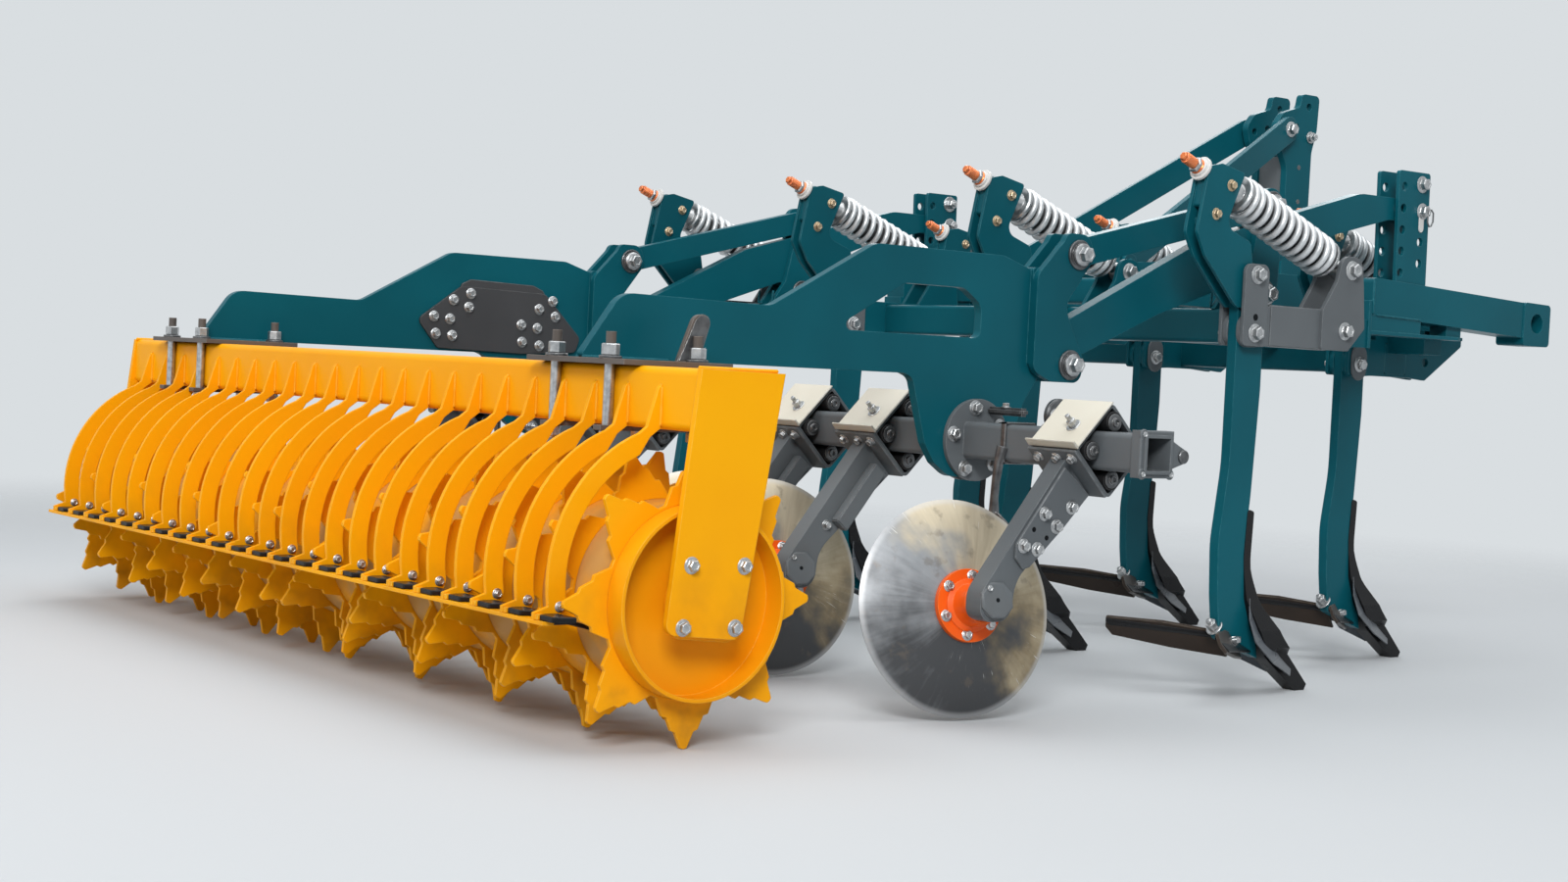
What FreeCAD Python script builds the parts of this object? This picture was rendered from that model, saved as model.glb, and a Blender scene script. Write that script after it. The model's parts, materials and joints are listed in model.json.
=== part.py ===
"""Mounted stubble cultivator: a two-beam frame with seven spring-trip tines, a row of
levelling discs on rubber-sprung arms, and a toothed packer roller with scrapers, carried
by a parallelogram linkage that sets the working depth.

Millimetres.  +X is the direction of travel, +Y the left side, +Z up.  The origin is on the
ground under the middle of the machine's length and width, with the roller and the tine
points standing on the ground.  Heights are above the ground; stations along X are first
measured from the rear tine row's pivot line and shifted to the origin on export.
"""
import FreeCAD, Part
import math
import os

Vector = FreeCAD.Vector

# ---------------------------------------------------------------- driving dimensions
# frame
tine_pitch = 415.0            # sideways distance between neighbouring furrows
rear_row_x = -20.0            # pivot line of the rear tine row
row_pitch = 934.0             # rear tine row to front tine row
front_row_drop = 55.0         # front row's beam and holders below the rear row's
beam_width = 100.0            # cross beams, along X
beam_height = 92.0
beam_wall = 8.0
beam_bottom = 923.0           # height of the cross beams' underside
beam_offset = 188.0           # cross beam's middle ahead of its row's pivot line
side_rail_size = 80.0
hitch_beam_offset = 5.0       # hitch beam's middle outboard of the inner rear tines
hitch_beam_width = 90.0
hitch_beam_height = 124.0
hitch_beam_rise = 31.0        # its underside above the cross beams
hitch_beam_wall = 10.0
hitch_beam_reach = 190.0      # its front end ahead of the headstock
hitch_beam_tail = 470.0
inner_rail_width = 60.0
mid_beam_size = 80.0
lower_link_setback = 57.0     # its pin hole behind the beam's end
lower_link_rise = 46.0        # and above the beam's underside
lower_link_hole_radius = 18.5
side_beam_rear = 700.0        # beams that stand on the side rails and carry the perforated plates
side_beam_length = 845.0
side_beam_width = 90.0
side_beam_wall = 8.0
side_beam_rise = 16.0         # its rear end's underside above the cross beams
side_beam_height = 106.0
side_beam_fall = 0.0453       # downward slope towards the front
side_beam_hole_radius = 30.0
running_gap = 0.3             # between a pin and the eye that turns on it

# headstock
mast_gap = 104.0              # between the two mast plates, for the tractor's top link
mast_plate = 25.0
mast_height = 605.0           # top link hole above the hitch beams
top_link_hole_radius = 12.8
stay_bolt_radius = 12.0
stay_half_width = 42.0
stay_thickness = 20.0
stay_foot_y = 232.0
headstock_offset = 426.0      # mast's cross tube ahead of the front cross beam
headstock_size = 120.0

# tines
tine_thickness = 30.0
pivot_rise = 23.0             # tine pivot above the cross beams' underside
strap_bolt_rise = 151.0
strap_bolt_radius = 12.0
eye_x = 372.0                 # spring rod's front eye, ahead of the pivot line
eye_rise = 186.0              # and above it
eye_radius = 14.0
trunnion_x = -100.0
trunnion_rise = 374.0
spring_radius = 57.0
spring_wire = 16.0
spring_length = 368.0
spring_back_gap = 60.0        # trunnion's middle to the spring's rear end
rod_radius = 15.0
rod_tail = 172.0              # threaded end behind the trunnion
tip_x = 306.0                 # share point, ahead of the pivot line
side_plate_gap = 0.3          # between plates that are bolted side by side

# depth linkage
linkage_offset = 210.0        # each linkage's middle plane outboard of the outer front tines
upper_pin_x = -462.0
upper_pin_rise = 105.0        # above the cross beams
lower_pin_x = -476.0
lower_pin_rise = -176.0
link_ear_rise = 291.0         # upper link's front pin above the cross beams
lever_pivot_rise = 47.0       # depth lever's pivot above the cross beams
pin_radius = 20.0
link_thickness = 40.0
open_pivot_gap = 1.0          # play at the upper pin
clevis_gap = 42.0
clevis_plate = 18.0
depth_plate_x = 795.0         # rear edge of the perforated plates
depth_plate_width = 140.0
depth_plate_thickness = 12.0
depth_plate_gap = 56.0
depth_plate_height = 437.0
depth_hole_radius = 13.0
depth_hole_pitch = 62.0

# roller
ring_count = 24
ring_pitch = 125.0
ring_thickness = 10.0
teeth_per_ring = 8
tooth_circle_radius = 306.0
tooth_base_half = 72.0
drum_radius = 203.0
drum_wall = 8.0
drum_overhang = 58.0          # drum beyond the outermost ring
end_disc_recess = 55.0
roller_x = -1869.0            # roller axis
stub_radius = 30.0
bearing_radius = 75.0
side_plate_thickness = 15.0
side_plate_clearance = 12.0
roller_beam_depth = 200.0
roller_beam_height = 130.0
roller_beam_top = 786.0
roller_beam_rear = -1922.0
roller_beam_wall = 8.0
scraper_thickness = 10.0
scraper_width = 45.0
scraper_radius = 325.0
scraper_centre = (19.0, 40.0)  # of the scraper's bend, from the roller axis
clamp_plate = 12.0
clamp_rod_radius = 11.0
clamp_rod_share = 0.872       # half the spacing of the clamp rods, in ring pitches
ring_step = 15.0              # degrees each ring is turned from its outer neighbour
scraper_rail_x = -2205.0      # rear edge
scraper_rail_z = 270.0        # top face

# arms and discs
arm_thickness = 25.0
disc_tube_x = -763.0
disc_tube_z = 641.0
disc_tube_size = 90.0
disc_tube_wall = 8.0
disc_tube_end_y = 1680.0
disc_flange_radius = 102.0
disc_radius = 255.0
disc_thickness = 5.0
disc_dish = 52.0
disc_flat_radius = 86.0
disc_yaw = 10.0               # degrees, toed against the direction of travel
disc_tilt = 12.0              # degrees, top leaning inwards
disc_back = 272.0             # disc's middle behind the disc tube
disc_inset = 90.0             # disc's middle inboard of its arm's station
disc_ground_gap = 3.0
disc_stations = (400.0, 720.0, 1450.0)   # disc arms either side of the middle
hub_radius = 45.0
hub_flange_radius = 85.0
rubber_radius = 21.0
disc_holder_width = 150.0
holder_slack = 8.0            # housing's faces off the disc tube's corners
axle_radius = 18.0

# ---------------------------------------------------------------- values that follow
front_row_x = rear_row_x + row_pitch
rear_tines_y = [tine_pitch * k for k in (-3, -1, 1, 3)]
front_tines_y = [tine_pitch * k for k in (-2, 0, 2)]
beam_top = beam_bottom + beam_height
rear_beam_x = rear_row_x + beam_offset
front_beam_x = front_row_x + beam_offset
pivot_z = beam_bottom + pivot_rise
eye_z = pivot_z + eye_rise
trunnion_z = pivot_z + trunnion_rise
holder_wall = 8.0
holder_reach = 300.0          # holder's front face ahead of the row's pivot line
holder_half = tine_thickness / 2 + 17.0
beam_half_length = 3 * tine_pitch + holder_half
front_beam_half_length = 2 * tine_pitch + holder_half
headstock_x = front_beam_x + headstock_offset
mid_beam_x = rear_row_x + row_pitch / 2 + 114
hitch_beam_end = headstock_x + hitch_beam_reach
hitch_beam_bottom = beam_top + hitch_beam_rise
hitch_beam_top = hitch_beam_bottom + hitch_beam_height
hitch_beam_y = tine_pitch + hitch_beam_offset
lower_link_x = hitch_beam_end - lower_link_setback
lower_link_z = hitch_beam_bottom + lower_link_rise
top_link_x = headstock_x + 38
top_link_z = hitch_beam_top + mast_height
stay_bolt_x = headstock_x - 85
stay_bolt_z = top_link_z - 89
linkage_y = 2 * tine_pitch + linkage_offset
link_ear = (rear_beam_x + 90, beam_top + link_ear_rise)
lever_pivot = (rear_beam_x + 76, beam_top + lever_pivot_rise)
upper_pin = (upper_pin_x, beam_top + upper_pin_rise)
lower_pin = (lower_pin_x, beam_top + lower_pin_rise)
depth_plate_top = beam_top + depth_plate_height
roller_z = tooth_circle_radius
ring_half_row = (ring_count - 1) * ring_pitch / 2
drum_half = ring_half_row + drum_overhang
side_plate_y = drum_half + side_plate_clearance
arm_bottom = roller_beam_top + clamp_plate
clamp_y = ring_pitch * (math.floor(linkage_y / ring_pitch + 0.5) + 0.696)
clamp_rod_half_spacing = ring_pitch * clamp_rod_share
side_beam_inner = linkage_y - side_beam_width / 2
side_beam_front = side_beam_rear + side_beam_length
side_beam_bottom = beam_top + side_beam_rise
side_beam_top = side_beam_bottom + side_beam_height
scrapers_y = [ring_pitch * (k - (ring_count - 2) / 2) for k in range(ring_count - 1)]
middle_x = (max(hitch_beam_end, side_beam_front) + scraper_rail_x) / 2


# ---------------------------------------------------------------- shape helpers
def box(x0, x1, y0, y1, z0, z1):
    return Part.makeBox(x1 - x0, y1 - y0, z1 - z0, Vector(x0, y0, z0))


def rod(start, end, radius):
    """Round bar between two points."""
    a = Vector(*start)
    along = Vector(*end) - a
    return Part.makeCylinder(radius, along.Length, a, along)


def pin_y(x, z, radius, y0, y1):
    return Part.makeCylinder(radius, y1 - y0, Vector(x, y0, z), Vector(0, 1, 0))


def corner_arc(before, corner, after, radius):
    """Points where a fillet of this radius leaves and joins the two sides, and its middle."""
    into = (before - corner).normalize()
    out = (after - corner).normalize()
    if (into + out).Length < 0.02:
        return corner, None, corner
    half = math.acos(max(-1.0, min(1.0, into.dot(out)))) / 2
    reach = min(radius / math.tan(half), 0.48 * (before - corner).Length, 0.48 * (after - corner).Length)
    radius = reach * math.tan(half)
    first = corner + into * reach
    last = corner + out * reach
    bisector = (into + out).normalize()
    middle = corner + bisector * (radius / math.sin(half) - radius)
    return first, middle, last


def outline_wire(points):
    """Closed wire in the XZ plane; a point is (x, z) or (x, z, corner radius)."""
    corners = [Vector(p[0], 0, p[1]) for p in points]
    radii = [p[2] if len(p) > 2 else 0 for p in points]
    count = len(corners)
    edges = []
    stops = []
    for k in range(count):
        if radii[k] > 0:
            stops.append(corner_arc(corners[k - 1], corners[k], corners[(k + 1) % count], radii[k]))
        else:
            stops.append((corners[k], None, corners[k]))
    for k in range(count):
        first, middle, last = stops[k]
        if middle is not None:
            edges.append(Part.Arc(first, middle, last).toShape())
        following = stops[(k + 1) % count][0]
        if (following - last).Length > 1e-6:
            edges.append(Part.LineSegment(last, following).toShape())
    return Part.Wire(edges)


def plate(points, y0, y1, holes=()):
    """Flat plate parallel to the XZ plane; holes are (x, z, radius)."""
    face = Part.Face(outline_wire(points))
    body = face.extrude(Vector(0, y1 - y0, 0))
    body.translate(Vector(0, y0, 0))
    for x, z, radius in holes:
        body = body.cut(pin_y(x, z, radius, y0 - 1, y1 + 1))
    return body


def bar_outline(start, end, half, round_start=True, round_end=True):
    """Outline of a straight bar between two pin centres, with round ends."""
    a = Vector(start[0], 0, start[1])
    b = Vector(end[0], 0, end[1])
    along = (b - a).normalize()
    side = Vector(-along.z, 0, along.x) * half
    points = []
    for centre, direction, is_round in ((a, -1, round_start), (b, 1, round_end)):
        reach = along * (half * direction)
        for sign in (1, -1):
            corner = centre + reach + side * (sign * direction)
            points.append((corner.x, corner.z, half * 0.98 if is_round else half * 0.1))
    return points


def mirrored(shape):
    return shape.mirror(Vector(0, 0, 0), Vector(0, 1, 0))


def fused(shapes):
    body = shapes[0]
    if len(shapes) > 1:
        body = body.multiFuse(shapes[1:])
    return body.removeSplitter()


# ---------------------------------------------------------------- frame
def square_tube_y(x, z, width, height, wall, y0, y1):
    """Cross tube with closed ends, drawn as its outer body less its inside."""
    outer = plate([(x - width / 2, z, 10), (x + width / 2, z, 10),
                   (x + width / 2, z + height, 10), (x - width / 2, z + height, 10)], y0, y1)
    inner = box(x - width / 2 + wall, x + width / 2 - wall, y0 + wall, y1 - wall,
                z + wall, z + height - wall)
    return outer.cut(inner)


def square_tube_x(y, z, width, height, wall, x0, x1):
    outer = box(x0, x1, y - width / 2, y + width / 2, z, z + height)
    inner = box(x0 + wall, x1 - wall, y - width / 2 + wall, y + width / 2 - wall,
                z + wall, z + height - wall)
    return outer.cut(inner)


def rear_beam():
    return square_tube_y(rear_beam_x, beam_bottom, beam_width, beam_height, beam_wall,
                         -beam_half_length, beam_half_length)


def front_beam():
    """Front cross tube, with a short box at each end that reaches out to the side beam."""
    z0 = beam_bottom - front_row_drop
    end = front_beam_half_length
    pieces = [square_tube_y(front_beam_x, z0, beam_width, beam_height, beam_wall, -end, end)]
    for side in (-1, 1):
        a = side * end
        b = side * side_beam_inner
        pieces.append(box(front_beam_x - 40, front_beam_x + 40, min(a, b), max(a, b),
                          z0 + beam_height - 30, side_beam_bottom - 31))
    return fused(pieces)


def side_rail():
    """Lengthwise tube from the rear beam to the side beam's end plate."""
    return square_tube_x(linkage_y, beam_top - side_rail_size, side_rail_size, side_rail_size,
                         beam_wall, rear_beam_x + beam_width / 2, side_beam_rear - 12)


def side_beam_top_at(x):
    return side_beam_top - (x - side_beam_rear) * side_beam_fall


def side_beam():
    """Sloping box beam in line with the depth lever, with a bored plate at its front end."""
    half = side_beam_width / 2
    x0 = side_beam_rear
    x1 = side_beam_front
    seam = x1 - 130
    high = side_beam_height
    foot = side_beam_bottom - 46
    wall = side_beam_wall
    outline = [(x0, side_beam_bottom, 8), (seam, side_beam_top_at(seam) - high),
               (seam, side_beam_top_at(seam)), (x0, side_beam_top, 14)]
    hollow = [(x0 + wall, side_beam_bottom + wall), (seam - wall, side_beam_top_at(seam) - high + wall),
              (seam - wall, side_beam_top_at(seam) - wall), (x0 + wall, side_beam_top - wall)]
    beam = plate(outline, linkage_y - half, linkage_y + half)
    beam = beam.cut(plate(hollow, linkage_y - half + wall, linkage_y + half - wall))
    nose_top = side_beam_top_at(x1) + 4
    nose = [(seam, nose_top - 128, 12), (x1, nose_top - 128, 14), (x1, nose_top, 14), (seam, nose_top + 4, 12)]
    end_plate = box(x0 - 12, x0, linkage_y - half, linkage_y + half, beam_top - side_rail_size, side_beam_bottom + 40)
    web = [(x0, foot), (x0 + 225, foot), (x0 + 225, side_beam_top_at(x0 + 225) - high + 1), (x0, side_beam_bottom + 1)]
    stand = [(front_beam_x - 38, foot), (front_beam_x + 30, foot),
             (front_beam_x + 30, side_beam_top_at(front_beam_x + 30) - high + 1),
             (front_beam_x - 38, side_beam_top_at(front_beam_x - 38) - high + 1)]
    flange = box(x0, front_beam_x + 41 - half, linkage_y - half, linkage_y + half, foot - 10, foot)
    tip = Part.makeCylinder(half, 10, Vector(front_beam_x + 41 - half, linkage_y, foot - 10), Vector(0, 0, 1))
    pieces = [beam, plate(nose, linkage_y - half - 4, linkage_y + half + 4), end_plate,
              plate(web, linkage_y - half + 2, linkage_y + half - 2), plate(stand, linkage_y - 30, linkage_y + 30),
              flange, tip]
    body = fused(pieces)
    hole_z = nose_top - 59
    return body.cut(pin_y(x1 - 66, hole_z, side_beam_hole_radius, linkage_y - 80, linkage_y + 80))


def inner_rail():
    """Lengthwise tube from an inner rear tine's holder to the front beam, under the hitch beam."""
    start = rear_row_x + holder_reach
    return square_tube_x(tine_pitch, beam_top - side_rail_size, inner_rail_width, side_rail_size,
                         beam_wall, start, front_beam_x - beam_width / 2)


def hitch_beam():
    """Lengthwise beam on the inner rail and the front beam; its end holds the lower link pin."""
    y = hitch_beam_y
    half = hitch_beam_width / 2
    tail = hitch_beam_tail
    end_plate_x = hitch_beam_end - 128
    beam = square_tube_x(y, hitch_beam_bottom, hitch_beam_width, hitch_beam_height,
                         hitch_beam_wall, tail, end_plate_x)
    nose = [(end_plate_x, hitch_beam_bottom - 18, 12), (hitch_beam_end, hitch_beam_bottom - 18, 14),
            (hitch_beam_end, hitch_beam_top - 2, 14), (end_plate_x, hitch_beam_top - 2, 12)]
    pieces = [beam, plate(nose, y - half - 4, y + half + 4)]
    for x, foot in ((tail + 60, beam_top), (front_beam_x, beam_top - front_row_drop)):
        pieces.append(box(x - beam_width / 2, x + beam_width / 2, y - inner_rail_width / 2,
                          y + inner_rail_width / 2, foot, hitch_beam_bottom))
    body = fused(pieces)
    return body.cut(pin_y(lower_link_x, lower_link_z, lower_link_hole_radius, y - 80, y + 80))


def mid_crossbeam():
    """Cross tube between the two hitch beams, under the feet of the mast stays."""
    half = hitch_beam_y - hitch_beam_width / 2
    tube = square_tube_y(mid_beam_x, hitch_beam_bottom, mid_beam_size, mid_beam_size, beam_wall, -half, half)
    return tube


def headstock_crossbeam():
    half = hitch_beam_y - hitch_beam_width / 2
    return square_tube_y(headstock_x, hitch_beam_bottom, headstock_size, headstock_size,
                         beam_wall, -half, half)


def mast_plate_one():
    """One upright plate of the headstock, with the top link holes."""
    foot = hitch_beam_bottom + headstock_size
    points = [(headstock_x - 60, foot), (headstock_x + 60, foot), (headstock_x + 62, top_link_z - 155, 60),
              (headstock_x + 84, top_link_z - 75, 40), (headstock_x + 90, top_link_z + 42, 18),
              (headstock_x + 2, top_link_z + 42, 18), (headstock_x - 8, top_link_z - 5, 20),
              (headstock_x - 88, top_link_z - 30, 40), (headstock_x - 124, top_link_z - 75, 30),
              (headstock_x - 108, top_link_z - 125, 30), (headstock_x - 60, top_link_z - 215, 60)]
    holes = [(top_link_x, top_link_z, top_link_hole_radius),
             (top_link_x - 58, top_link_z - 74, top_link_hole_radius),
             (stay_bolt_x, stay_bolt_z, stay_bolt_radius)]
    y = mast_gap / 2
    return plate(points, y, y + mast_plate, holes)


def mast_spacer():
    """Grey box between the mast plates' feet."""
    half = mast_gap / 2 - side_plate_gap
    foot = hitch_beam_bottom + headstock_size
    return box(headstock_x - 50, headstock_x + 48, -half, half, foot, top_link_z - 175)


def stay_ends():
    """A mast stay's upper bolt and its foot bolt."""
    start = Vector(stay_bolt_x, mast_gap / 2 + mast_plate + stay_thickness / 2 + 9, stay_bolt_z)
    end = Vector(mid_beam_x, stay_foot_y, hitch_beam_bottom + mid_beam_size + stay_half_width + 8)
    return start, end


def mast_stay():
    start, end = stay_ends()
    along = end - start
    flat = math.hypot(along.x, along.y)
    length = along.Length
    bar = plate(bar_outline((0, 0), (length, 0), stay_half_width), -stay_thickness / 2, stay_thickness / 2)
    bar = bar.cut(pin_y(0, 0, stay_bolt_radius + running_gap, -40, 40))
    bar = bar.cut(pin_y(length, 0, stay_bolt_radius + running_gap, -40, 40))
    bar.rotate(Vector(0, 0, 0), Vector(0, 1, 0), -math.degrees(math.atan2(along.z, flat)))
    bar.rotate(Vector(0, 0, 0), Vector(0, 0, 1), math.degrees(math.atan2(along.y, along.x)))
    bar.translate(start)
    return bar


def stay_foot():
    """Lug on the middle cross tube that takes the stay's lower bolt."""
    start, end = stay_ends()
    turn = math.degrees(math.atan2(end.y - start.y, end.x - start.x)) - 180
    top = hitch_beam_bottom + mid_beam_size
    points = [(-38, top), (38, top), (30, end.z + 26, 26), (-30, end.z + 26, 26)]
    gap = stay_thickness / 2 + side_plate_gap
    lugs = [plate(points, side, side + 12) for side in (gap, -gap - 12)]
    bolt = pin_y(0, end.z, stay_bolt_radius, -gap - 20, gap + 20)
    body = fused(lugs + [bolt])
    body.rotate(Vector(0, 0, 0), Vector(0, 0, 1), turn)
    body.translate(Vector(end.x, end.y, 0))
    return body


def depth_plate_pair():
    """Two perforated plates on the side beam; the depth lever's nose moves between them."""
    x0 = depth_plate_x
    x1 = x0 + depth_plate_width
    points = [(x0 + 8, side_beam_top_at(x0 + 8)), (x1 + 5, side_beam_top_at(x1 + 5)),
              (x1, depth_plate_top, 10), (x0, depth_plate_top, 10)]
    holes = [(x0 + 26, depth_plate_top - 46 - depth_hole_pitch * k, depth_hole_radius) for k in range(5)]
    holes += [(x1 - 32, depth_plate_top - 46 - depth_hole_pitch * (k + 0.5), depth_hole_radius)
              for k in (2, 3)]
    gap = depth_plate_gap / 2
    pieces = []
    for y0 in (linkage_y - gap - depth_plate_thickness, linkage_y + gap):
        pieces.append(plate(points, y0, y0 + depth_plate_thickness, holes))
    web = [(x1 - 8, side_beam_top_at(x1 - 8)), (x1 + 4, side_beam_top_at(x1 + 4)),
           (x1 + 4, side_beam_top + 16), (x1 - 8, side_beam_top + 16)]
    pieces.append(plate(web, linkage_y - gap, linkage_y + gap))
    return fused(pieces)


def link_bracket():
    """Plate pair on the rear beam with the lever's pivot pin and the upper link's ear pin."""
    x, z = link_ear
    px, pz = lever_pivot
    points = [(rear_beam_x - beam_width / 2, beam_top), (rear_beam_x + beam_width / 2, beam_top),
              (px + 52, pz, 30), (x + 46, z - 40, 40), (x + 40, z + 46, 45), (x - 44, z + 46, 45),
              (x - 48, z - 60, 60), (px - 70, pz + 30, 40)]
    pieces = []
    gap = clevis_gap / 2
    for y0 in (linkage_y - gap - clevis_plate, linkage_y + gap):
        pieces.append(plate(points, y0, y0 + clevis_plate))
    for cx, cz in (link_ear, lever_pivot):
        pieces.append(pin_y(cx, cz, pin_radius, linkage_y - gap - clevis_plate - 14,
                            linkage_y + gap + clevis_plate + 14))
    return fused(pieces)


# ---------------------------------------------------------------- tines
def tine_holder(x, y, gusset=False):
    """Sleeve on the cross beam, ears for the tine's pivot and plates for the spring's eye."""
    z0 = beam_bottom - holder_wall
    z1 = beam_top + holder_wall
    beam_x = x + beam_offset
    half = holder_half
    sleeve = box(x + 66, x + holder_reach, y - half, y + half, z0, z1)
    beam_way = box(beam_x - beam_width / 2, beam_x + beam_width / 2, y - half - 1, y + half + 1,
                   beam_bottom, beam_top)
    sleeve = sleeve.cut(beam_way)
    inner = tine_thickness / 2 + side_plate_gap
    outer = half + 12
    ear = [(x - 42, pivot_z - 40, 38), (x + 80, z0), (x + 80, z1), (x - 42, pivot_z + 40, 38)]
    front = [(x + 262, z0, 8), (x + 372, z0, 8), (x + 436, beam_bottom + 55, 6), (x + 424, eye_z - 42, 10),
             (x + eye_x + 42, eye_z + 36, 38), (x + eye_x - 38, eye_z + 38, 38),
             (x + 316, eye_z - 32, 30), (x + 262, beam_top + 5, 20)]
    pieces = [sleeve]
    if gusset:
        outer = half
        front = [(x + 250, z0, 4), (x + 333, z0 - 6, 10), (x + 504, beam_top + 5, 10), (x + 504, beam_top + 26),
                 (x + 424, beam_top + 26, 20), (x + 424, eye_z - 42, 10), (x + eye_x + 42, eye_z + 36, 38),
                 (x + eye_x - 38, eye_z + 38, 38), (x + 316, eye_z - 32, 30), (x + 250, beam_top + 16, 20)]
        pieces.append(box(x + 90, x + 510, y - half, y + half, beam_top + 24, beam_top + 34))
        pieces.append(box(x + 90, x + holder_reach, y - half, y + half, z1 - 1, beam_top + 24))
    for side in (-1, 1):
        a = y + side * inner
        b = y + side * half
        pieces.append(plate(ear, min(a, b), max(a, b)))
        c = y + side * outer
        if gusset:
            b = y + side * (half - 12)
        pieces.append(plate(front, min(b, c), max(b, c)))
    pieces.append(pin_y(x + eye_x, eye_z, eye_radius, y - outer, y + outer))
    pieces.append(pin_y(x, pivot_z, strap_bolt_radius, y - half, y + half))
    body = fused(pieces)
    if gusset:
        body = body.cut(pin_y(x + 332, beam_bottom + 42, 14.5, y - 60, y + 60))
    return body


def shank_outline(x, drop):
    pivot = pivot_z - drop
    head = pivot + strap_bolt_rise + 30
    return [(x - 38, head, 20), (x + 62, head, 20), (x + 64, pivot - 146), (x + 50, pivot * 0.55, 500),
            (x + 36, 380, 150), (x + 56, 250, 150), (x + 92, 172, 30), (x + 110, 92),
            (x - 40, 148, 20), (x - 56, 262, 120), (x - 64, 400, 300), (x - 38, pivot * 0.634, 500)]


def tine_shank(x, y, drop):
    """Forged shank with the head plates that hold the spring rod's trunnion."""
    half = tine_thickness / 2
    hole = [(x, pivot_z - drop, strap_bolt_radius + side_plate_gap)]
    body = plate(shank_outline(x, drop), y - half, y + half, hole)
    top = trunnion_z - drop
    tower = [(x - 183, top + 43, 8), (x - 137, top + 53, 8), (x - 49, top + 35, 8), (x - 112, top - 106, 30),
             (x - 14, top - 140, 20), (x + 6, top - 240), (x + 6, top - 310, 10), (x - 52, top - 310, 10),
             (x - 71, top - 296, 20), (x - 182, top - 186, 30), (x - 216, top - 127, 20), (x - 214, top - 111, 10)]
    pieces = [body]
    for side in (-1, 1):
        a = y + side * half
        b = y + side * (half + 10)
        pieces.append(plate(tower, min(a, b), max(a, b)))
    pieces.append(box(x - 184, x - 116, y - half, y + half, top - 104, top - 88))
    block = [(x - 196, top - 60, 8), (x - 98, top - 75, 8), (x - 56, top + 32, 8), (x - 137, top + 50, 8),
             (x - 180, top + 40, 8)]
    pieces.append(plate(block, y - half, y + half))
    body = fused(pieces)
    start, end = rod_line(x, y)
    way = rod(start, end, rod_radius + side_plate_gap)
    way.translate(Vector(0, 0, -drop))
    return body.cut(way)


def rod_line(x, y):
    """Ends of the spring rod, from its front eye to its threaded rear end."""
    eye = Vector(x + eye_x, y, eye_z)
    trunnion = Vector(x + trunnion_x, y, trunnion_z)
    along = (trunnion - eye).normalize()
    start = eye + along * (eye_radius + 8)
    end = trunnion + along * rod_tail
    return (start.x, start.y, start.z), (end.x, end.y, end.z)


def spring_rod(x, y):
    """Threaded rod, its front eye, the two spring seats and the adjusting nut."""
    eye = Vector(x + eye_x, y, eye_z)
    trunnion = Vector(x + trunnion_x, y, trunnion_z)
    along = (trunnion - eye).normalize()
    start, end = rod_line(x, y)
    ring = pin_y(x + eye_x, eye_z, eye_radius + 14, y - 14, y + 14)
    bar = rod(start, end, rod_radius)
    spring_rear = trunnion - along * spring_back_gap
    spring_front = spring_rear - along * spring_length
    seat_front = Part.makeCylinder(spring_radius - 4, 12, spring_front - along * 12, along)
    seat_rear = Part.makeCylinder(spring_radius - 4, 12, spring_rear, along)
    washer = Part.makeCylinder(32, 8, trunnion + along * 98, along)
    nut = Part.makeCylinder(21, 28, trunnion + along * 106, along)
    body = fused([ring, bar, seat_front, seat_rear, washer, nut])
    return body.cut(pin_y(x + eye_x, eye_z, eye_radius + side_plate_gap, y - 40, y + 40))


def coil_spring(x, y):
    """Envelope of the coil spring."""
    eye = Vector(x + eye_x, y, eye_z)
    trunnion = Vector(x + trunnion_x, y, trunnion_z)
    along = (trunnion - eye).normalize()
    front = trunnion - along * (spring_back_gap + spring_length)
    outer = Part.makeCylinder(spring_radius, spring_length, front, along)
    return outer.cut(Part.makeCylinder(spring_radius - spring_wire, spring_length, front, along))


def tine_strap(x, y):
    """Pair of straps bolted through the shank's head and its pivot."""
    z0 = pivot_z - 34
    z1 = pivot_z + strap_bolt_rise + 28
    points = [(x - 45, z0, 12), (x + 45, z0, 12), (x + 45, z1, 24), (x - 45, z1, 24)]
    near = holder_half + side_plate_gap
    return [plate(points, y + near, y + near + 10), plate(points, y - near - 10, y - near)]


def share(x, y, drop):
    """Shin plate and point in one, with two swept wings."""
    side_view = [(x + 42, 487, 8), (x + 66, 480, 8), (x + 60, 330, 200), (x + 96, 236, 120),
                 (x + 170, 150, 120), (x + tip_x, 16), (x + tip_x - 8, 0), (x + tip_x - 44, 0),
                 (x + 128, 96, 120), (x + 76, 170, 60), (x + 46, 250, 60), (x + 36, 360, 100)]
    body = plate(side_view, y - 70, y + 70)
    reach = tip_x + 20
    front_view = [(17, 495), (17, 330), (26, 250), (52, 168), (48, 120), (24, 100), (21, -5)]
    points = [Vector(x, y + a, z) for a, z in front_view] + [Vector(x, y - a, z) for a, z in reversed(front_view)]
    prism = Part.Face(Part.makePolygon(points + [points[0]])).extrude(Vector(reach, 0, 0))
    shank = plate(shank_outline(x, drop), y - tine_thickness / 2, y + tine_thickness / 2)
    return body.common(prism).cut(shank)


def wing(x, y, side):
    """Swept wing, bolted beside the foot of the shank."""
    def section(at_x, at_y, low, high, depth):
        pts = [Vector(at_x, at_y, low), Vector(at_x - depth, at_y, high),
               Vector(at_x - depth, at_y, high + 9), Vector(at_x, at_y, low + 5)]
        return Part.makePolygon(pts + [pts[0]])
    root = section(x + 84, y + side * 15, 108, 150, 100)
    tip = section(x - 196, y + side * 190, 140, 176, 56)
    return Part.makeLoft([root, tip], True, True)


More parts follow.
